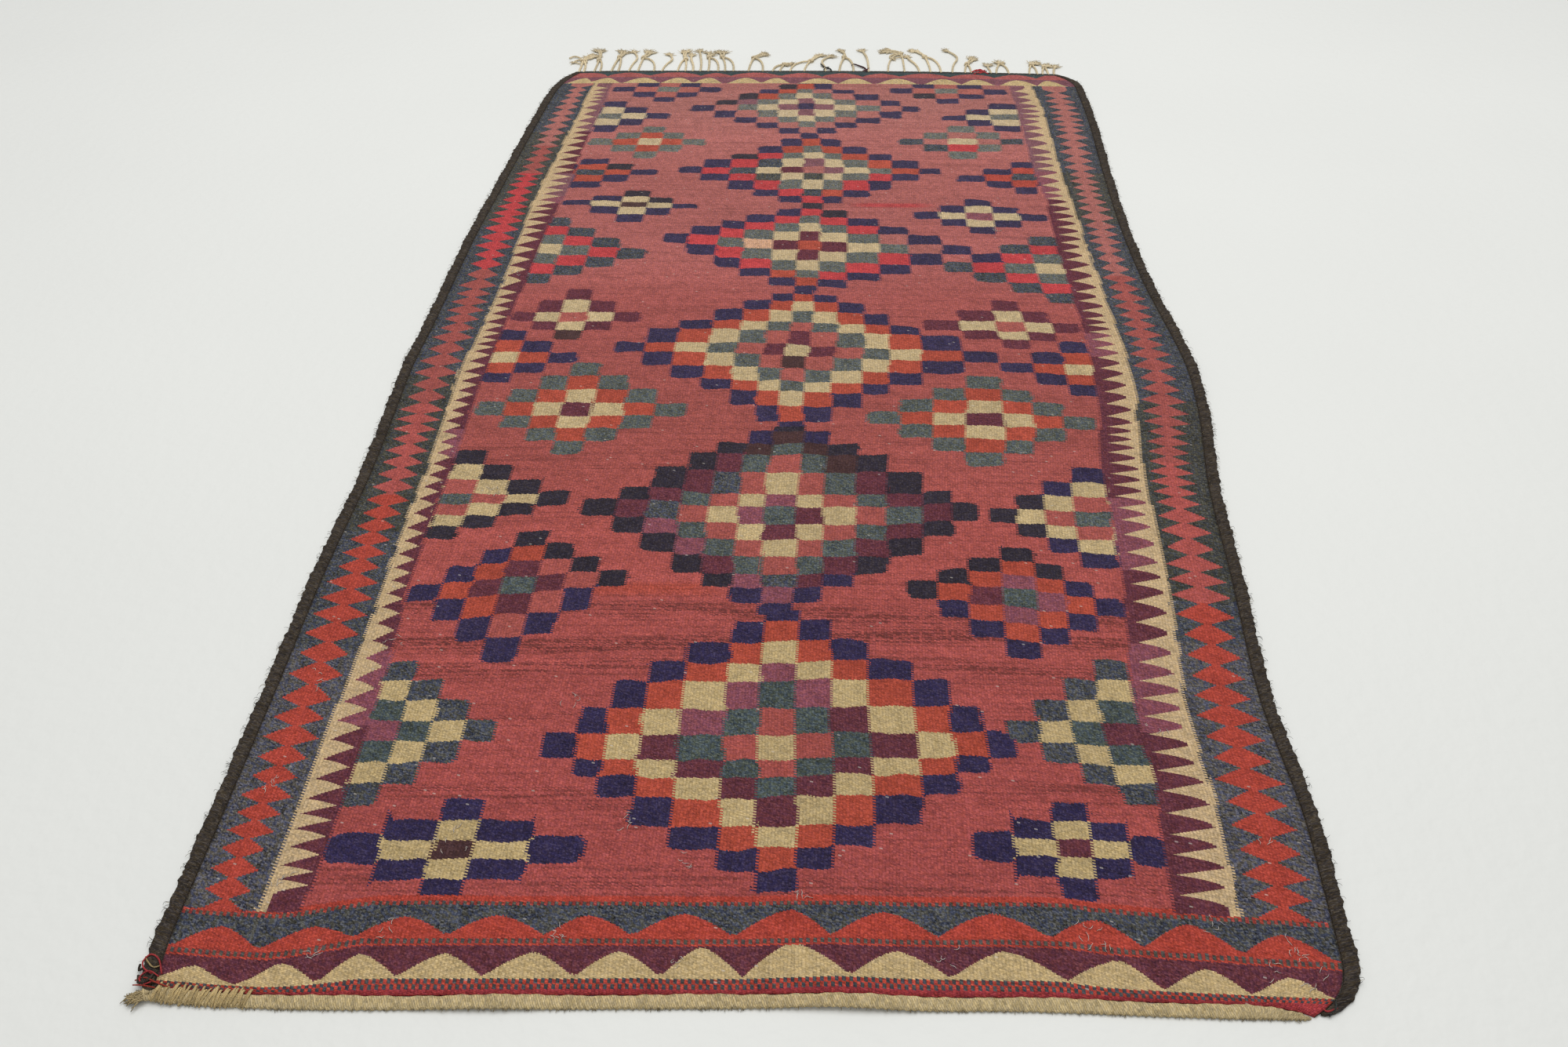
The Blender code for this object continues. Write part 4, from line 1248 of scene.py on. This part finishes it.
def border_yarns(draft, place):
    """Where the side borders are, and their yarns. The spikes differ from the left to the right side."""
    cream_edge, spike_point, spike_foot = draft.measures("border_lines")
    field_edge, spikes, rhombs = draft.measures("border_counts")
    rhomb_middle, rhomb_half, _ = draft.measures("rhomb_column")
    out, float_out = place.join_u.size(), place.float_u.size()
    on_left = place.u < 0.0

    shapes = ((0.35, 0.50), (1.25, 2.6), (0.6, 1.0), (0.95, 0.88))
    near_share, far_power, near_power, least = (draft.choose(on_left, *shape) for shape in shapes)
    own_size = least + 0.19 * draft.speckle(draft.vector((spikes + near_share).floor(), 3.0))
    spike = zigzag(draft, spikes, near_share, far_power, near_power) * own_size
    spike_line = spike_foot - SPIKE_SINK + (spike_point - spike_foot + (SPIKE_SINK + SPIKE_RISE)) * spike
    cream = (opaque(BORDER_CREAM), HEATHER["cream"])
    inner = draft.cover(float_out > spike_line, draft.yarn("spike"), cream)

    near_share = 0.40
    own_size = 0.88 + 0.20 * draft.speckle(draft.vector((rhombs + near_share).floor(), 5.0))
    rhomb = (RHOMB_WAIST + 0.94 * zigzag(draft, rhombs, near_share, 1.1, 0.95)) * own_size
    in_rhomb = (float_out - rhomb_middle).size() < rhomb_half * rhomb
    outer = draft.cover(in_rhomb, draft.yarn("ground"), draft.yarn("rhomb"))
    return out > field_edge, draft.cover(out > cream_edge, inner, outer)


def near_end_yarns(draft, place, yarns, below, in_border):
    """The near end's lines over what lies below them."""
    cream_hill, red_hill, drop = draft.measures("near_lines")
    dropped = place.float_v + drop * draft.ramp(place.v, 0.012, 0.040)
    in_cream, in_red = dropped < cream_hill, dropped < red_hill
    slate, brick, aubergine = opaque(yarns.slate), opaque(yarns.brick), opaque(yarns.aubergine)
    dotted = draft.blend(place.odd, opaque(DARK_BRICK), opaque(GREY_DOT))
    colour, heather = below
    colour = draft.blend((dropped < BRICK_REACH) * (1.0 - in_border), colour, brick)
    colour = draft.blend(dropped < BRICK_LINE, colour, brick)
    below = colour, heather
    lines = (
        # how far each reaches from the plait, its colour and its heather, each covering what lies further in
        (0.1450, dotted, 0.5),
        (0.1390, draft.blend(in_red, slate, brick), draft.choose(in_red, 0.25, 1.0)),
        (0.0920, dotted, 0.4),
        (0.0845, brick, 0.3),
        (0.0820, draft.blend(in_cream, aubergine, opaque(HILL_CREAM)), draft.choose(in_cream, 0.16, 0.45)),
        (0.0380, draft.blend(place.odd, brick, slate), 0.4),
        (0.0315, draft.blend(place.odd, slate, brick), 0.4),
        (0.0250, opaque(DARK_CRIMSON), 0.3),
    )
    for reach, *yarn in lines:
        below = draft.cover(dropped < reach, below, yarn)
    return below


def far_end_yarns(draft, place, yarns, below):
    """The far end over what lies below it: cream scallops, purple, rose hills and green."""
    scallop, rose_hill, _ = draft.measures("far_lines")
    colour = draft.blend(place.float_v > FAR_PURPLE * MM, opaque(yarns.purple), opaque(yarns.rose))
    colour = draft.blend(place.float_v > rose_hill, colour, opaque(yarns.green))
    colour = draft.blend(place.float_v < scallop, colour, opaque(HILL_CREAM))
    return draft.cover(place.float_v > FAR_START * MM, below, (colour, 0.3))


def cloth_material(sizes, yarns):
    """The woven pattern: every weft float has one colour, read from the pattern at the float's middle."""
    material, draft, shader = new_material("woven_wool")
    place = WeavePlace(draft, sizes)
    in_lozenge, checks = lozenge_yarns(draft, place)
    yarn = draft.cover(in_lozenge, field_yarn(draft, place), checks)
    in_border, border = border_yarns(draft, place)
    yarn = draft.cover(in_border, yarn, border)
    yarn = near_end_yarns(draft, place, yarns, yarn, in_border)
    # The hair of the bound sides reaches unevenly into the cloth, and this dark band is also painted shade
    # beside the bound sides.
    uneven = draft.noise(draft.vector(place.u * 4.0, place.v * 55.0), 1.0, detail=2.0)
    in_hair_and_shade = place.float_u.size() > HAIR_AND_SHADE_EDGE - uneven * 0.006
    yarn = draft.cover(in_hair_and_shade, yarn, (opaque(yarns.hair), HEATHER["hair"]))
    colour, heather = far_end_yarns(draft, place, yarns, yarn)

    fibre = draft.vector(place.u * 330.0, place.beaten * 420.0 + place.u * 160.0)
    weft_float = draft.vector(place.column, place.row)
    spun = draft.group(heather_group(), Colour=colour, Fibre=fibre, Float=weft_float, Heather=heather)
    stray = draft.speckle(draft.vector(place.column + 0.5, place.row * 1.3)) > 1.0 - STRAY_SHARE
    colour = draft.blend(stray * 0.40, spun["Colour"], opaque(yarns.lint))
    soiling = draft.noise(place.weave, 5.0, detail=4.0, roughness=0.6)
    # Painted shade: the colour darkens towards each float's edges, where it dips between its neighbours. The
    # crown is also the float's bump height.
    crown = (1.0 - place.across * place.across * 2.0) * (1.0 - place.along * place.along * 2.4)
    colour = draft.scaled(colour, (0.93 + soiling * 0.14) * (0.60 + crown * 0.54))
    draft.feed(shader.inputs["Base Color"], colour)
    fuzz = draft.noise(place.weave, 1500.0, detail=2.0)
    raise_surface(draft, shader, crown + fuzz * 0.35, 0.0005)
    return material


def thread_material(name, pitch, lean, bump):
    """Wool yarn whose colour the mesh carries. Its turns lie pitch apart and lean round the thread."""
    material, draft, shader = new_material(name)
    thread = draft.node("ShaderNodeUVMap", uv_map="Thread").outputs[0]
    turn, along, _ = draft.parts(thread)
    waver = (draft.noise(draft.vector(turn * 3.0, along * 90.0), 1.0) - 0.5) * 0.5
    count = along / pitch + turn * lean + waver
    fibre = draft.noise(draft.vector(turn * 22.0, along * 2400.0), 1.0, detail=1.0)
    colour, heather = draft.yarn("yarn")
    strand = draft.vector(count.floor(), (turn * 9.0 + waver).floor())
    colour = draft.group(heather_group(), Colour=colour, Fibre=draft.vector(turn * 14.0, along * 900.0),
                         Float=strand, Heather=heather)["Colour"]
    # Painted shade: the yarn's colour darkens in the grooves between its turns, which the bump also shapes.
    groove = (count.part() - 0.5).size() * 2.0
    colour = draft.scaled(colour, 1.03 - groove * groove * 0.18)
    draft.feed(shader.inputs["Base Color"], colour)
    raise_surface(draft, shader, 1.0 - groove * groove + fibre * 0.8, bump)
    return material


def underside(up, height):
    """Height of a cord's lower half, where up is how far up the cord's own round a vertex lies."""
    return height * (1 - np.clip(-up, 0, 1) ** 0.35)


def bind_side(sizes, yarns, side):
    """A bound side: hair wrapped round the edge, turn by turn, with loose hairs standing out of it."""
    builder = bmesh.new()
    start, end = SIDE_STARTS[side], sizes.length - SIDE_STOP
    length = end - start
    turns = int(length / sizes.wrap_pitch)
    rod = Rod.of(12, turns * 4)
    angle = rod.turn * math.tau
    v = start + length * rod.along
    wrap = v / sizes.wrap_pitch
    number = np.floor(wrap)
    swollen = bulge(wrap - number)
    uneven = np.array([noise_value(k, side) for k in range(int(number.max()) + 2)])[number.astype(int)] - 0.5
    close = np.clip(np.minimum(v - start, end - v) / 0.006, 0, 1)
    narrow = rounded(close)
    edge = wobble(v, (0.071, 0.0007), (0.023, 0.0007), (0.0137, 0.0005), (0.163, 0.0008)) + uneven * 0.0016
    half = sizes.side_width / 2
    out = np.cos(angle) * (half + 0.0004 * swollen) * narrow
    u = sizes.width / 2 - half + out + np.where(out > 0, edge + 0.0006, 0.0)
    up = np.sin(angle)
    upper = np.clip(up, 0, 1)
    top = sizes.side_height * (SIDE_MIDDLE + 0.56 * upper ** 0.75 * narrow)
    top = top + 0.0006 * swollen * upper + uneven * 0.0008 * upper
    z = np.where(up >= 0, top, underside(up, sizes.side_height * SIDE_MIDDLE))
    lean = (0.0028 * np.cos(angle) + 0.0008 * np.sin(wrap * 0.37)) * close
    places = on_floor(sizes, side * u, v + lean, z)
    rod.shape(builder, places, length, yarn_of(yarns, "hair"))
    random.seed(11 + side)
    for _ in range(LOOSE_HAIRS):
        at = random.uniform(start + 0.02, end - 0.01)
        outwards = random.random() < 0.75
        root = sizes.width / 2 + (0.0 if outwards else -random.uniform(0.006, 0.018))
        reach = random.uniform(0.002, 0.008) * (1 if outwards else 0.5)
        sway = random.uniform(-0.008, 0.008)
        stops = [
            (side * (root - 0.003), at, 0.0035),
            (side * (root + reach * 0.5), at + sway * 0.4, 0.0035 + random.uniform(0.0, 0.004)),
            (side * (root + reach), at + sway, random.uniform(0.001, 0.005)),
        ]
        name = "warp" if random.random() < 0.12 else "hair"
        lay_on_rug(builder, sizes, stops, (0.0007, 0.0006, 0.0003), yarn_of(yarns, name), 3, 5)
    for name, width, stops in CORNER_ENDS:
        if stops[0][0] * side > 0:
            widths = width * MM * np.array((0.8, 1.0, 0.8))
            lay_on_rug(builder, sizes, np.array(stops) * MM, widths, yarn_of(yarns, name), 7, 26, plies=0.08)
    return finish_mesh(f"side_{'left' if side < 0 else 'right'}_bound", builder)


class KILIM_OT_bind_sides(bpy.types.Operator):
    """Bind both long sides with dark goat hair"""
    bl_idname = "kilim.bind_sides"
    bl_label = "Bind Sides"
    bl_options = {"REGISTER", "UNDO"}

    def execute(self, context):
        sizes, yarns = context.scene.kilim_sizes, context.scene.kilim_yarns
        material = thread_material("goat_hair_binding", sizes.wrap_pitch / 2, 1.5, 0.0006)
        for side, node in ((-1, "selvedge_left"), (1, "selvedge_right")):
            piece = new_piece(f"{node}_bound", bind_side(sizes, yarns, side), material)
            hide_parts(node)
        return {"FINISHED"}


def plait_end(sizes, yarns):
    """The plaited end: rows of stitches across the warps, with the whip stitches and the tuft at the left."""
    builder = bmesh.new()
    left, right = PLAIT_INSET - sizes.width / 2, sizes.width / 2 - sizes.side_width - sizes.gap
    rod = Rod.of(16, 1300)
    angle = rod.turn * math.tau
    u = left + (right - left) * rod.along
    stitch = u / sizes.warp_pitch
    full_depth = band_depth(sizes, u)
    depth = full_depth + wobble(u, (0.047, 0.0006), (0.019, 0.0004), (0.23, 0.0009))
    across = 0.5 - 0.5 * np.cos(angle)
    up = np.sin(angle)
    upper = np.clip(up, 0, 1)
    height = sizes.band_height * (1 + full_depth / sizes.band_depth) / 2
    row = np.floor(across * PLAIT_ROWS)
    in_row = across * PLAIT_ROWS - row
    relief = bulge((stitch + 0.5 * row + 0.5 * in_row) % 1.0) * bulge(in_row, 4)
    top = height * (PLAIT_MIDDLE + 0.45 * upper ** 0.6) + 0.0009 * relief * upper
    z = np.where(up >= 0, top, underside(up, height * PLAIT_MIDDLE))
    frayed = 0.0007 * np.sin(stitch * math.tau * 0.5) * np.clip(1 - across * 3, 0, 1)
    close = np.clip(np.minimum(u - left, right - u) / 0.004, 0, 1)
    v = depth * (0.5 + (across - 0.5) * rounded(close)) - frayed
    places = on_floor(sizes, u, v, z * (0.3 + 0.7 * close))
    rod.shape(builder, places, right - left, yarn_of(yarns, "warp"))
    random.seed(5)
    top = sizes.band_height
    for k in range(WHIP_STITCHES):
        at = WHIP_START + WHIP_PITCH * k + random.uniform(-0.0016, 0.0016)
        lean = random.uniform(-0.001, 0.009)
        low = random.uniform(-0.0035, 0.001)
        stops = [
            (at + lean, 0.021 + random.uniform(-0.003, 0.004), 0.0030),
            (at + lean * 0.8, 0.0175, top * 0.86),
            (at + lean * 0.4, 0.0095, top * 1.04),
            (at, 0.0020, top * 0.86),
            (at - 0.001, low, top * 0.34),
        ]
        yarn = yarn_of(yarns, "cream", random.uniform(1.05, 1.45))
        widths = random.uniform(0.0028, 0.0044) * np.array((0.7, 1.0, 1.1, 1.0, 0.6))
        lay_on_rug(builder, sizes, stops, widths, yarn, 8, 18, flat=0.7, plies=0.05)
    corner = on_floor(sizes, left, 0.004, 0.003)
    for _ in range(TUFT_FIBRES):
        reach = random.uniform(0.006, 0.020)
        turn = math.radians(random.gauss(192, 20))
        spreads = ((-0.006, 0.012), (-0.005, 0.006), (-0.001, 0.003))
        start = corner + np.array([random.uniform(*spread) for spread in spreads])
        end = start + np.array([reach * math.cos(turn), reach * math.sin(turn), 0.0])
        end[2] = random.uniform(0.0006, 0.004)
        middle = (start + end) / 2 + np.array([0, random.uniform(-0.004, 0.004), random.uniform(0.0, 0.003)])
        yarn = yarn_of(yarns, "warp", random.uniform(0.9, 1.2))
        lay_thread(builder, [start, middle, end], (0.0026, 0.0022, 0.0010), yarn, 4, 6)
    for _ in range(PLAIT_FIBRES):
        at = random.uniform(left + 0.02, right - 0.02)
        foot = random.uniform(0.0, 0.003)
        sway, reach = random.uniform(-0.004, 0.004), random.uniform(0.001, 0.004)
        stops = [
            (at, foot + 0.003, 0.0030),
            (at + sway * 0.5, foot - reach * 0.4, 0.0028),
            (at + sway, foot - reach, 0.001),
        ]
        yarn = yarn_of(yarns, "warp", random.uniform(0.85, 1.15))
        lay_on_rug(builder, sizes, stops, (0.0013, 0.0011, 0.0005), yarn, 3, 5)
    return finish_mesh("end_band_plaited", builder)


class KILIM_OT_plait_end(bpy.types.Operator):
    """Plait the near end and whip its frayed left corner"""
    bl_idname = "kilim.plait_end"
    bl_label = "Plait End"
    bl_options = {"REGISTER", "UNDO"}

    def execute(self, context):
        sizes, yarns = context.scene.kilim_sizes, context.scene.kilim_yarns
        material = thread_material("plaited_warp", sizes.float_height * 1.4, 7.0, 0.0006)
        piece = new_piece("end_band_plaited", plait_end(sizes, yarns), material)
        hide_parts("end_band_near")
        return {"FINISHED"}


def edge_place(sizes, x, reach, z):
    """A place at x that lies reach beyond the far edge, both in the layout's metres."""
    low, high = -sizes.width / 2, sizes.width / 2
    for _ in range(40):
        middle = (low + high) / 2
        if layout_point(sizes, middle, sizes.length)[0] < x:
            low = middle
        else:
            high = middle
    y = layout_point(sizes, middle, sizes.length)[1]
    return np.array((x - LAYOUT_MIDDLE[0], float(y) + reach - LAYOUT_MIDDLE[1], z))


def bent(start, control, end, shares):
    """Points of the curve that control draws aside on its way from start to end, at shares of that way."""
    return [(1 - t) ** 2 * start + 2 * t * (1 - t) * control + t * t * end for t in shares]


def strand_path(root, knot, tip):
    """The curve of a strand that leaves the edge, bends into its knot and goes on to its tip."""
    control = np.array((root[0] + 0.1 * (knot[0] - root[0]), root[1] + 0.62 * (knot[1] - root[1]), root[2]))
    after = knot + unit(knot - control) * 0.4 * np.linalg.norm(tip - knot)
    return bent(root, control, knot, (0.0, 0.25, 0.5, 0.75, 1.0)), bent(knot, after, tip, (0.33, 0.67, 1.0))


def fray(builder, base, heading, length, spread, count, yarn, width):
    """Loose fibres that fan out from the end of a strand."""
    for _ in range(count):
        turn = random.gauss(0.0, spread)
        away = np.array([heading[0] * math.cos(turn) - heading[1] * math.sin(turn),
                         heading[0] * math.sin(turn) + heading[1] * math.cos(turn), 0.0])
        start = base + away * random.uniform(-0.004, 0.002)
        start[2] = base[2] + random.uniform(-0.001, 0.001)
        end = start + away * length * random.uniform(0.5, 1.15)
        end[1] = min(end[1], FRINGE_LIMIT)
        end[2] = random.uniform(0.0006, 0.006)
        bow = np.array([-away[1], away[0], 0.0]) * random.uniform(-0.25, 0.25) * length
        shade = random.uniform(0.85, 1.12)
        colour = (*(np.array(yarn[:3]) * shade), yarn[3])
        points = [start, (start + end) / 2 + bow, end]
        lay_thread(builder, points, (width, width * 0.8, width * 0.35), colour, 4, 6)


def tie_knot(builder, knot, onward, yarn):
    """Three turns of yarn round a knot, side by side along onward."""
    across = np.array((-onward[1], onward[0], 0.0))
    for turn in (-1, 0, 1):
        centre = knot + onward * turn * 0.0040
        ring = []
        for angle in np.linspace(0, math.tau, 9):
            away = across * 0.0062 * math.cos(angle) + onward * 0.0022 * math.sin(angle * 0.5)
            ring.append(centre + away + np.array((0, 0, 0.0036 * math.sin(angle))))
        lay_thread(builder, ring, (0.0046, 0.0046), yarn, 6, 20)


def knot_fringe(sizes, yarns):
    """The twined far edge, and the strands of warp that leave it, most of them knotted in pairs."""
    builder = bmesh.new()
    half = sizes.width / 2
    teal = faded_yarn(yarns, "bottle", sizes.length, sizes, 0.95)
    warp = yarn_of(yarns, "fringe")
    twine_form = {"flat": 0.8, "plies": 0.16, "ply_pitch": 0.012}
    for v in (sizes.length - 0.0005, sizes.length - 0.0047):
        stops = [(u, v, 0.0028) for u in np.linspace(0.012 - half, half - 0.012, 160)]
        lay_on_rug(builder, sizes, stops, (0.0044, 0.0044), teal, 8, 700, **twine_form)
    random.seed(23)
    strand_form = {"flat": 0.85, "plies": 0.16}
    for root_x, mate_x, knot_x, knot_reach, tip_x, tip_reach in FRINGE_LOCKS:
        root = edge_place(sizes, root_x * MM, ROOT_REACH, 0.0026)
        knot = edge_place(sizes, knot_x * MM, knot_reach * MM, 0.0042)
        tip = edge_place(sizes, tip_x * MM, tip_reach * MM, 0.0028)
        first, second = strand_path(root, knot, tip)
        width = sizes.strand_width * random.uniform(0.92, 1.12)
        rings = max(20, int(np.linalg.norm(tip - root) / 0.0022))
        tint = (*(np.array(warp[:3]) * random.uniform(0.9, 1.08)), warp[3])
        widths = width * np.array((1.0, 1.0, 1.05, 1.15, 1.0))
        lay_thread(builder, [*first, *second], widths, tint, 8, rings, **strand_form)
        onward = unit(second[-1] - second[0])
        tuft = 0.018 + 0.012 * noise_value(root_x)
        fray(builder, tip - onward * 0.008, onward, tuft, 0.52, 34, tint, 0.0026)
        if mate_x is None:
            continue
        mate_root = edge_place(sizes, mate_x * MM, ROOT_REACH, 0.0026)
        side = 1.0 if mate_x > knot_x else -1.0
        control = np.array((mate_root[0], knot[1] - 0.08 * (knot[1] - mate_root[1]), 0.003))
        mate = bent(mate_root, control, knot, (0, 0.2, 0.4, 0.6, 0.8, 1))
        beside = tip + np.array((side * random.uniform(0.008, 0.014), -random.uniform(0.0, 0.014), 0.0))
        mate += [(knot + beside) / 2 + np.array((side * 0.003, 0, 0.001)), beside]
        widths = width * np.array((1.0, 1.0, 1.0, 1.05, 1.1, 1.0))
        lay_thread(builder, mate, widths, tint, 8, rings, **strand_form)
        fray(builder, beside - onward * 0.008, onward, tuft * 0.9, 0.58, 30, tint, 0.0026)
        tie_knot(builder, knot, onward, tint)
    for name, width, stops in FRINGE_ENDS:
        points = [edge_place(sizes, x * MM, reach * MM, 0.004) for x, reach in stops]
        widths = width * MM * np.array((1.0, 1.1, 0.8))
        lay_thread(builder, points, widths, yarn_of(yarns, name), 7, 30, plies=0.14)
        if name == "fringe":
            onward = unit(points[-1] - points[-2])
            fray(builder, points[-1], onward, 0.016, 0.6, 18, yarn_of(yarns, name), 0.0020)
    return finish_mesh("fringe_knotted", builder)


class KILIM_OT_knot_fringe(bpy.types.Operator):
    """Twine the far edge and knot its warp ends into a loose fringe"""
    bl_idname = "kilim.knot_fringe"
    bl_label = "Knot Fringe"
    bl_options = {"REGISTER", "UNDO"}

    def execute(self, context):
        sizes, yarns = context.scene.kilim_sizes, context.scene.kilim_yarns
        material = thread_material("fringe_wool", 0.0035, 1.0, 0.0005)
        piece = new_piece("fringe_knotted", knot_fringe(sizes, yarns), material)
        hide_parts("fringe_far")
        return {"FINISHED"}


def lint_tufts(sizes, yarns):
    """Tufts of pale fibres that wander over the cloth."""
    builder = bmesh.new()
    random.seed(31)
    for u, v, radius, count in LINT:
        for _ in range(count):
            heading = random.uniform(0, math.tau)
            at = np.array((random.gauss(u, radius * 0.5), random.gauss(v, radius * 0.5)))
            stops = []
            for _ in range(4):
                stops.append((*(at * MM), sizes.cloth_thickness + random.uniform(0.0004, 0.0022)))
                at = at + random.uniform(2, 5) * np.array((math.cos(heading), math.sin(heading)))
                heading += random.gauss(0, 0.9)
            yarn = yarn_of(yarns, "lint", random.uniform(0.85, 1.1))
            lay_on_rug(builder, sizes, stops, (0.0006, 0.0011, 0.0005), yarn, 3, 9)
    return finish_mesh("lint_tufts", builder)


class KILIM_OT_scatter_lint(bpy.types.Operator):
    """Scatter tufts of pale lint over the cloth"""
    bl_idname = "kilim.scatter_lint"
    bl_label = "Scatter Lint"
    bl_options = {"REGISTER", "UNDO"}

    def execute(self, context):
        sizes, yarns = context.scene.kilim_sizes, context.scene.kilim_yarns
        material = thread_material("lint", 0.002, 1.0, 0.0001)
        new_piece("lint", lint_tufts(sizes, yarns), material)
        return {"FINISHED"}


class KILIM_OT_weave_cloth(bpy.types.Operator):
    """Weave the cloth: one sheet that carries the whole pattern on both faces"""
    bl_idname = "kilim.weave_cloth"
    bl_label = "Weave Cloth"
    bl_options = {"REGISTER", "UNDO"}

    def execute(self, context):
        sizes, yarns = context.scene.kilim_sizes, context.scene.kilim_yarns
        cloth = new_piece("cloth", make_cloth_mesh(sizes, yarns), cloth_material(sizes, yarns))
        thickness = cloth.modifiers.new("thickness", "SOLIDIFY")
        thickness.thickness = sizes.cloth_thickness
        thickness.offset = -1.0
        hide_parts("kilim_cloth")
        return {"FINISHED"}


# --- Stage --------------------------------------------------------------------------------------------------

FLOOR_GAP = 0.0003      # how far the floor lies below the rug's underside
LAMP_SIZE, LAMP_PLACE = (7.0, 6.0), (0.2, 1.6, 6.5)
SENSOR_WIDTH = 36.0


class KilimStage(bpy.types.PropertyGroup):
    """The floor, the light and the camera."""
    camera_height: length_property("Camera height", "Height of the lens over the floor", 1.4039)
    camera_x: bpy.props.FloatProperty(name="Camera across", description="Place of the lens across the rug",
                                      default=0.0691, unit="LENGTH", precision=4)
    camera_y: bpy.props.FloatProperty(name="Camera along", description="Place of the lens along the rug",
                                      default=-2.2472, unit="LENGTH", precision=4)
    camera_pitch: bpy.props.FloatProperty(name="Camera pitch", description="How far the lens looks down",
                                          default=math.radians(41.433), subtype="ANGLE")
    camera_yaw: bpy.props.FloatProperty(name="Camera turn", description="How far the lens turns to the left",
                                        default=math.radians(2.749), subtype="ANGLE")
    camera_lens: bpy.props.FloatProperty(name="Lens", description="Focal length on a 36 mm wide picture",
                                         default=27.99, subtype="DISTANCE_CAMERA")
    floor_size: length_property("Floor size", "Side of the square floor", 40.0)
    floor: colour_property("Floor", "Colour of the painted floor", 227, 228, 224)
    sky: bpy.props.FloatProperty(name="Sky", description="Strength of the light from all round", default=0.53,
                                 min=0.0)
    lamp_power: bpy.props.FloatProperty(name="Lamp", description="Power of the soft lamp overhead",
                                        default=322.0, min=0.0, unit="POWER")


class KILIM_OT_set_stage(bpy.types.Operator):
    """Set the pale floor, the soft light and the camera"""
    bl_idname = "kilim.set_stage"
    bl_label = "Set Stage"
    bl_options = {"REGISTER", "UNDO"}

    def execute(self, context):
        stage = context.scene.kilim_stage
        builder = bmesh.new()
        bmesh.ops.create_grid(builder, x_segments=1, y_segments=1, size=stage.floor_size / 2)
        mesh = finish_mesh("floor", builder)
        floor = bpy.data.objects.new("floor", mesh)
        floor.location.z = -FLOOR_GAP
        context.scene.collection.objects.link(floor)
        material, draft, shader = new_material("painted_floor", roughness=0.42, gloss=0.3)
        mesh.materials.append(material)
        place = draft.node("ShaderNodeTexCoord").outputs["Object"]
        cloud = draft.noise(place, 1.1, detail=3.0)
        draft.feed(shader.inputs["Base Color"], draft.scaled((*stage.floor,), 0.98 + cloud * 0.04))
        raise_surface(draft, shader, draft.noise(place, 38.0, detail=2.0), 0.0012)

        world = bpy.data.worlds.new("studio")
        context.scene.world = world
        world.use_nodes = True
        background = world.node_tree.nodes["Background"]
        background.inputs["Color"].default_value = (1.0, 1.0, 1.0, 1.0)
        background.inputs["Strength"].default_value = stage.sky
        lamp_data = bpy.data.lights.new("soft_box", "AREA")
        lamp_data.shape = "RECTANGLE"
        lamp_data.size, lamp_data.size_y = LAMP_SIZE
        lamp_data.energy = stage.lamp_power
        lamp = bpy.data.objects.new("soft_box", lamp_data)
        lamp.location = LAMP_PLACE
        lamp.rotation_euler = (-lamp.location).to_track_quat("-Z", "Y").to_euler()
        context.scene.collection.objects.link(lamp)

        camera_data = bpy.data.cameras.new("camera")
        camera_data.lens = stage.camera_lens
        camera_data.sensor_width = SENSOR_WIDTH
        camera = bpy.data.objects.new("camera", camera_data)
        camera.location = (stage.camera_x, stage.camera_y, stage.camera_height)
        camera.rotation_euler = (math.pi / 2 - stage.camera_pitch, 0.0, stage.camera_yaw)
        context.scene.collection.objects.link(camera)
        context.scene.camera = camera
        context.scene.view_settings.view_transform = "Standard"
        return {"FINISHED"}


class KILIM_PT_maker(bpy.types.Panel):
    """The rug's sizes, yarns and pieces"""
    bl_idname = "KILIM_PT_maker"
    bl_label = "Kilim Rug"
    bl_space_type = "VIEW_3D"
    bl_region_type = "UI"
    bl_category = "Kilim"

    def draw(self, context):
        for operator in OPERATORS:
            self.layout.operator(operator.bl_idname)
        for name in GROUPS:
            box = self.layout.box()
            group = getattr(context.scene, name)
            for field in group.bl_rna.properties:
                if field.identifier not in ("rna_type", "name"):
                    box.prop(group, field.identifier)


GROUPS = {"kilim_sizes": KilimSizes, "kilim_yarns": KilimYarns, "kilim_stage": KilimStage}
OPERATORS = (
    KILIM_OT_set_stage, KILIM_OT_weave_cloth, KILIM_OT_bind_sides, KILIM_OT_plait_end, KILIM_OT_knot_fringe,
    KILIM_OT_scatter_lint,
)


def register():
    for kind in (*GROUPS.values(), *OPERATORS, KILIM_PT_maker):
        bpy.utils.register_class(kind)
    for name, kind in GROUPS.items():
        setattr(bpy.types.Scene, name, bpy.props.PointerProperty(type=kind))


def unregister():
    for name in GROUPS:
        delattr(bpy.types.Scene, name)
    for kind in (KILIM_PT_maker, *OPERATORS[::-1], *GROUPS.values()):
        bpy.utils.unregister_class(kind)


def main():
    register()
    bpy.ops.kilim.set_stage()
    bpy.ops.kilim.weave_cloth()
    bpy.ops.kilim.bind_sides()
    bpy.ops.kilim.plait_end()
    bpy.ops.kilim.knot_fringe()
    bpy.ops.kilim.scatter_lint()


if __name__ == "__main__":
    main()
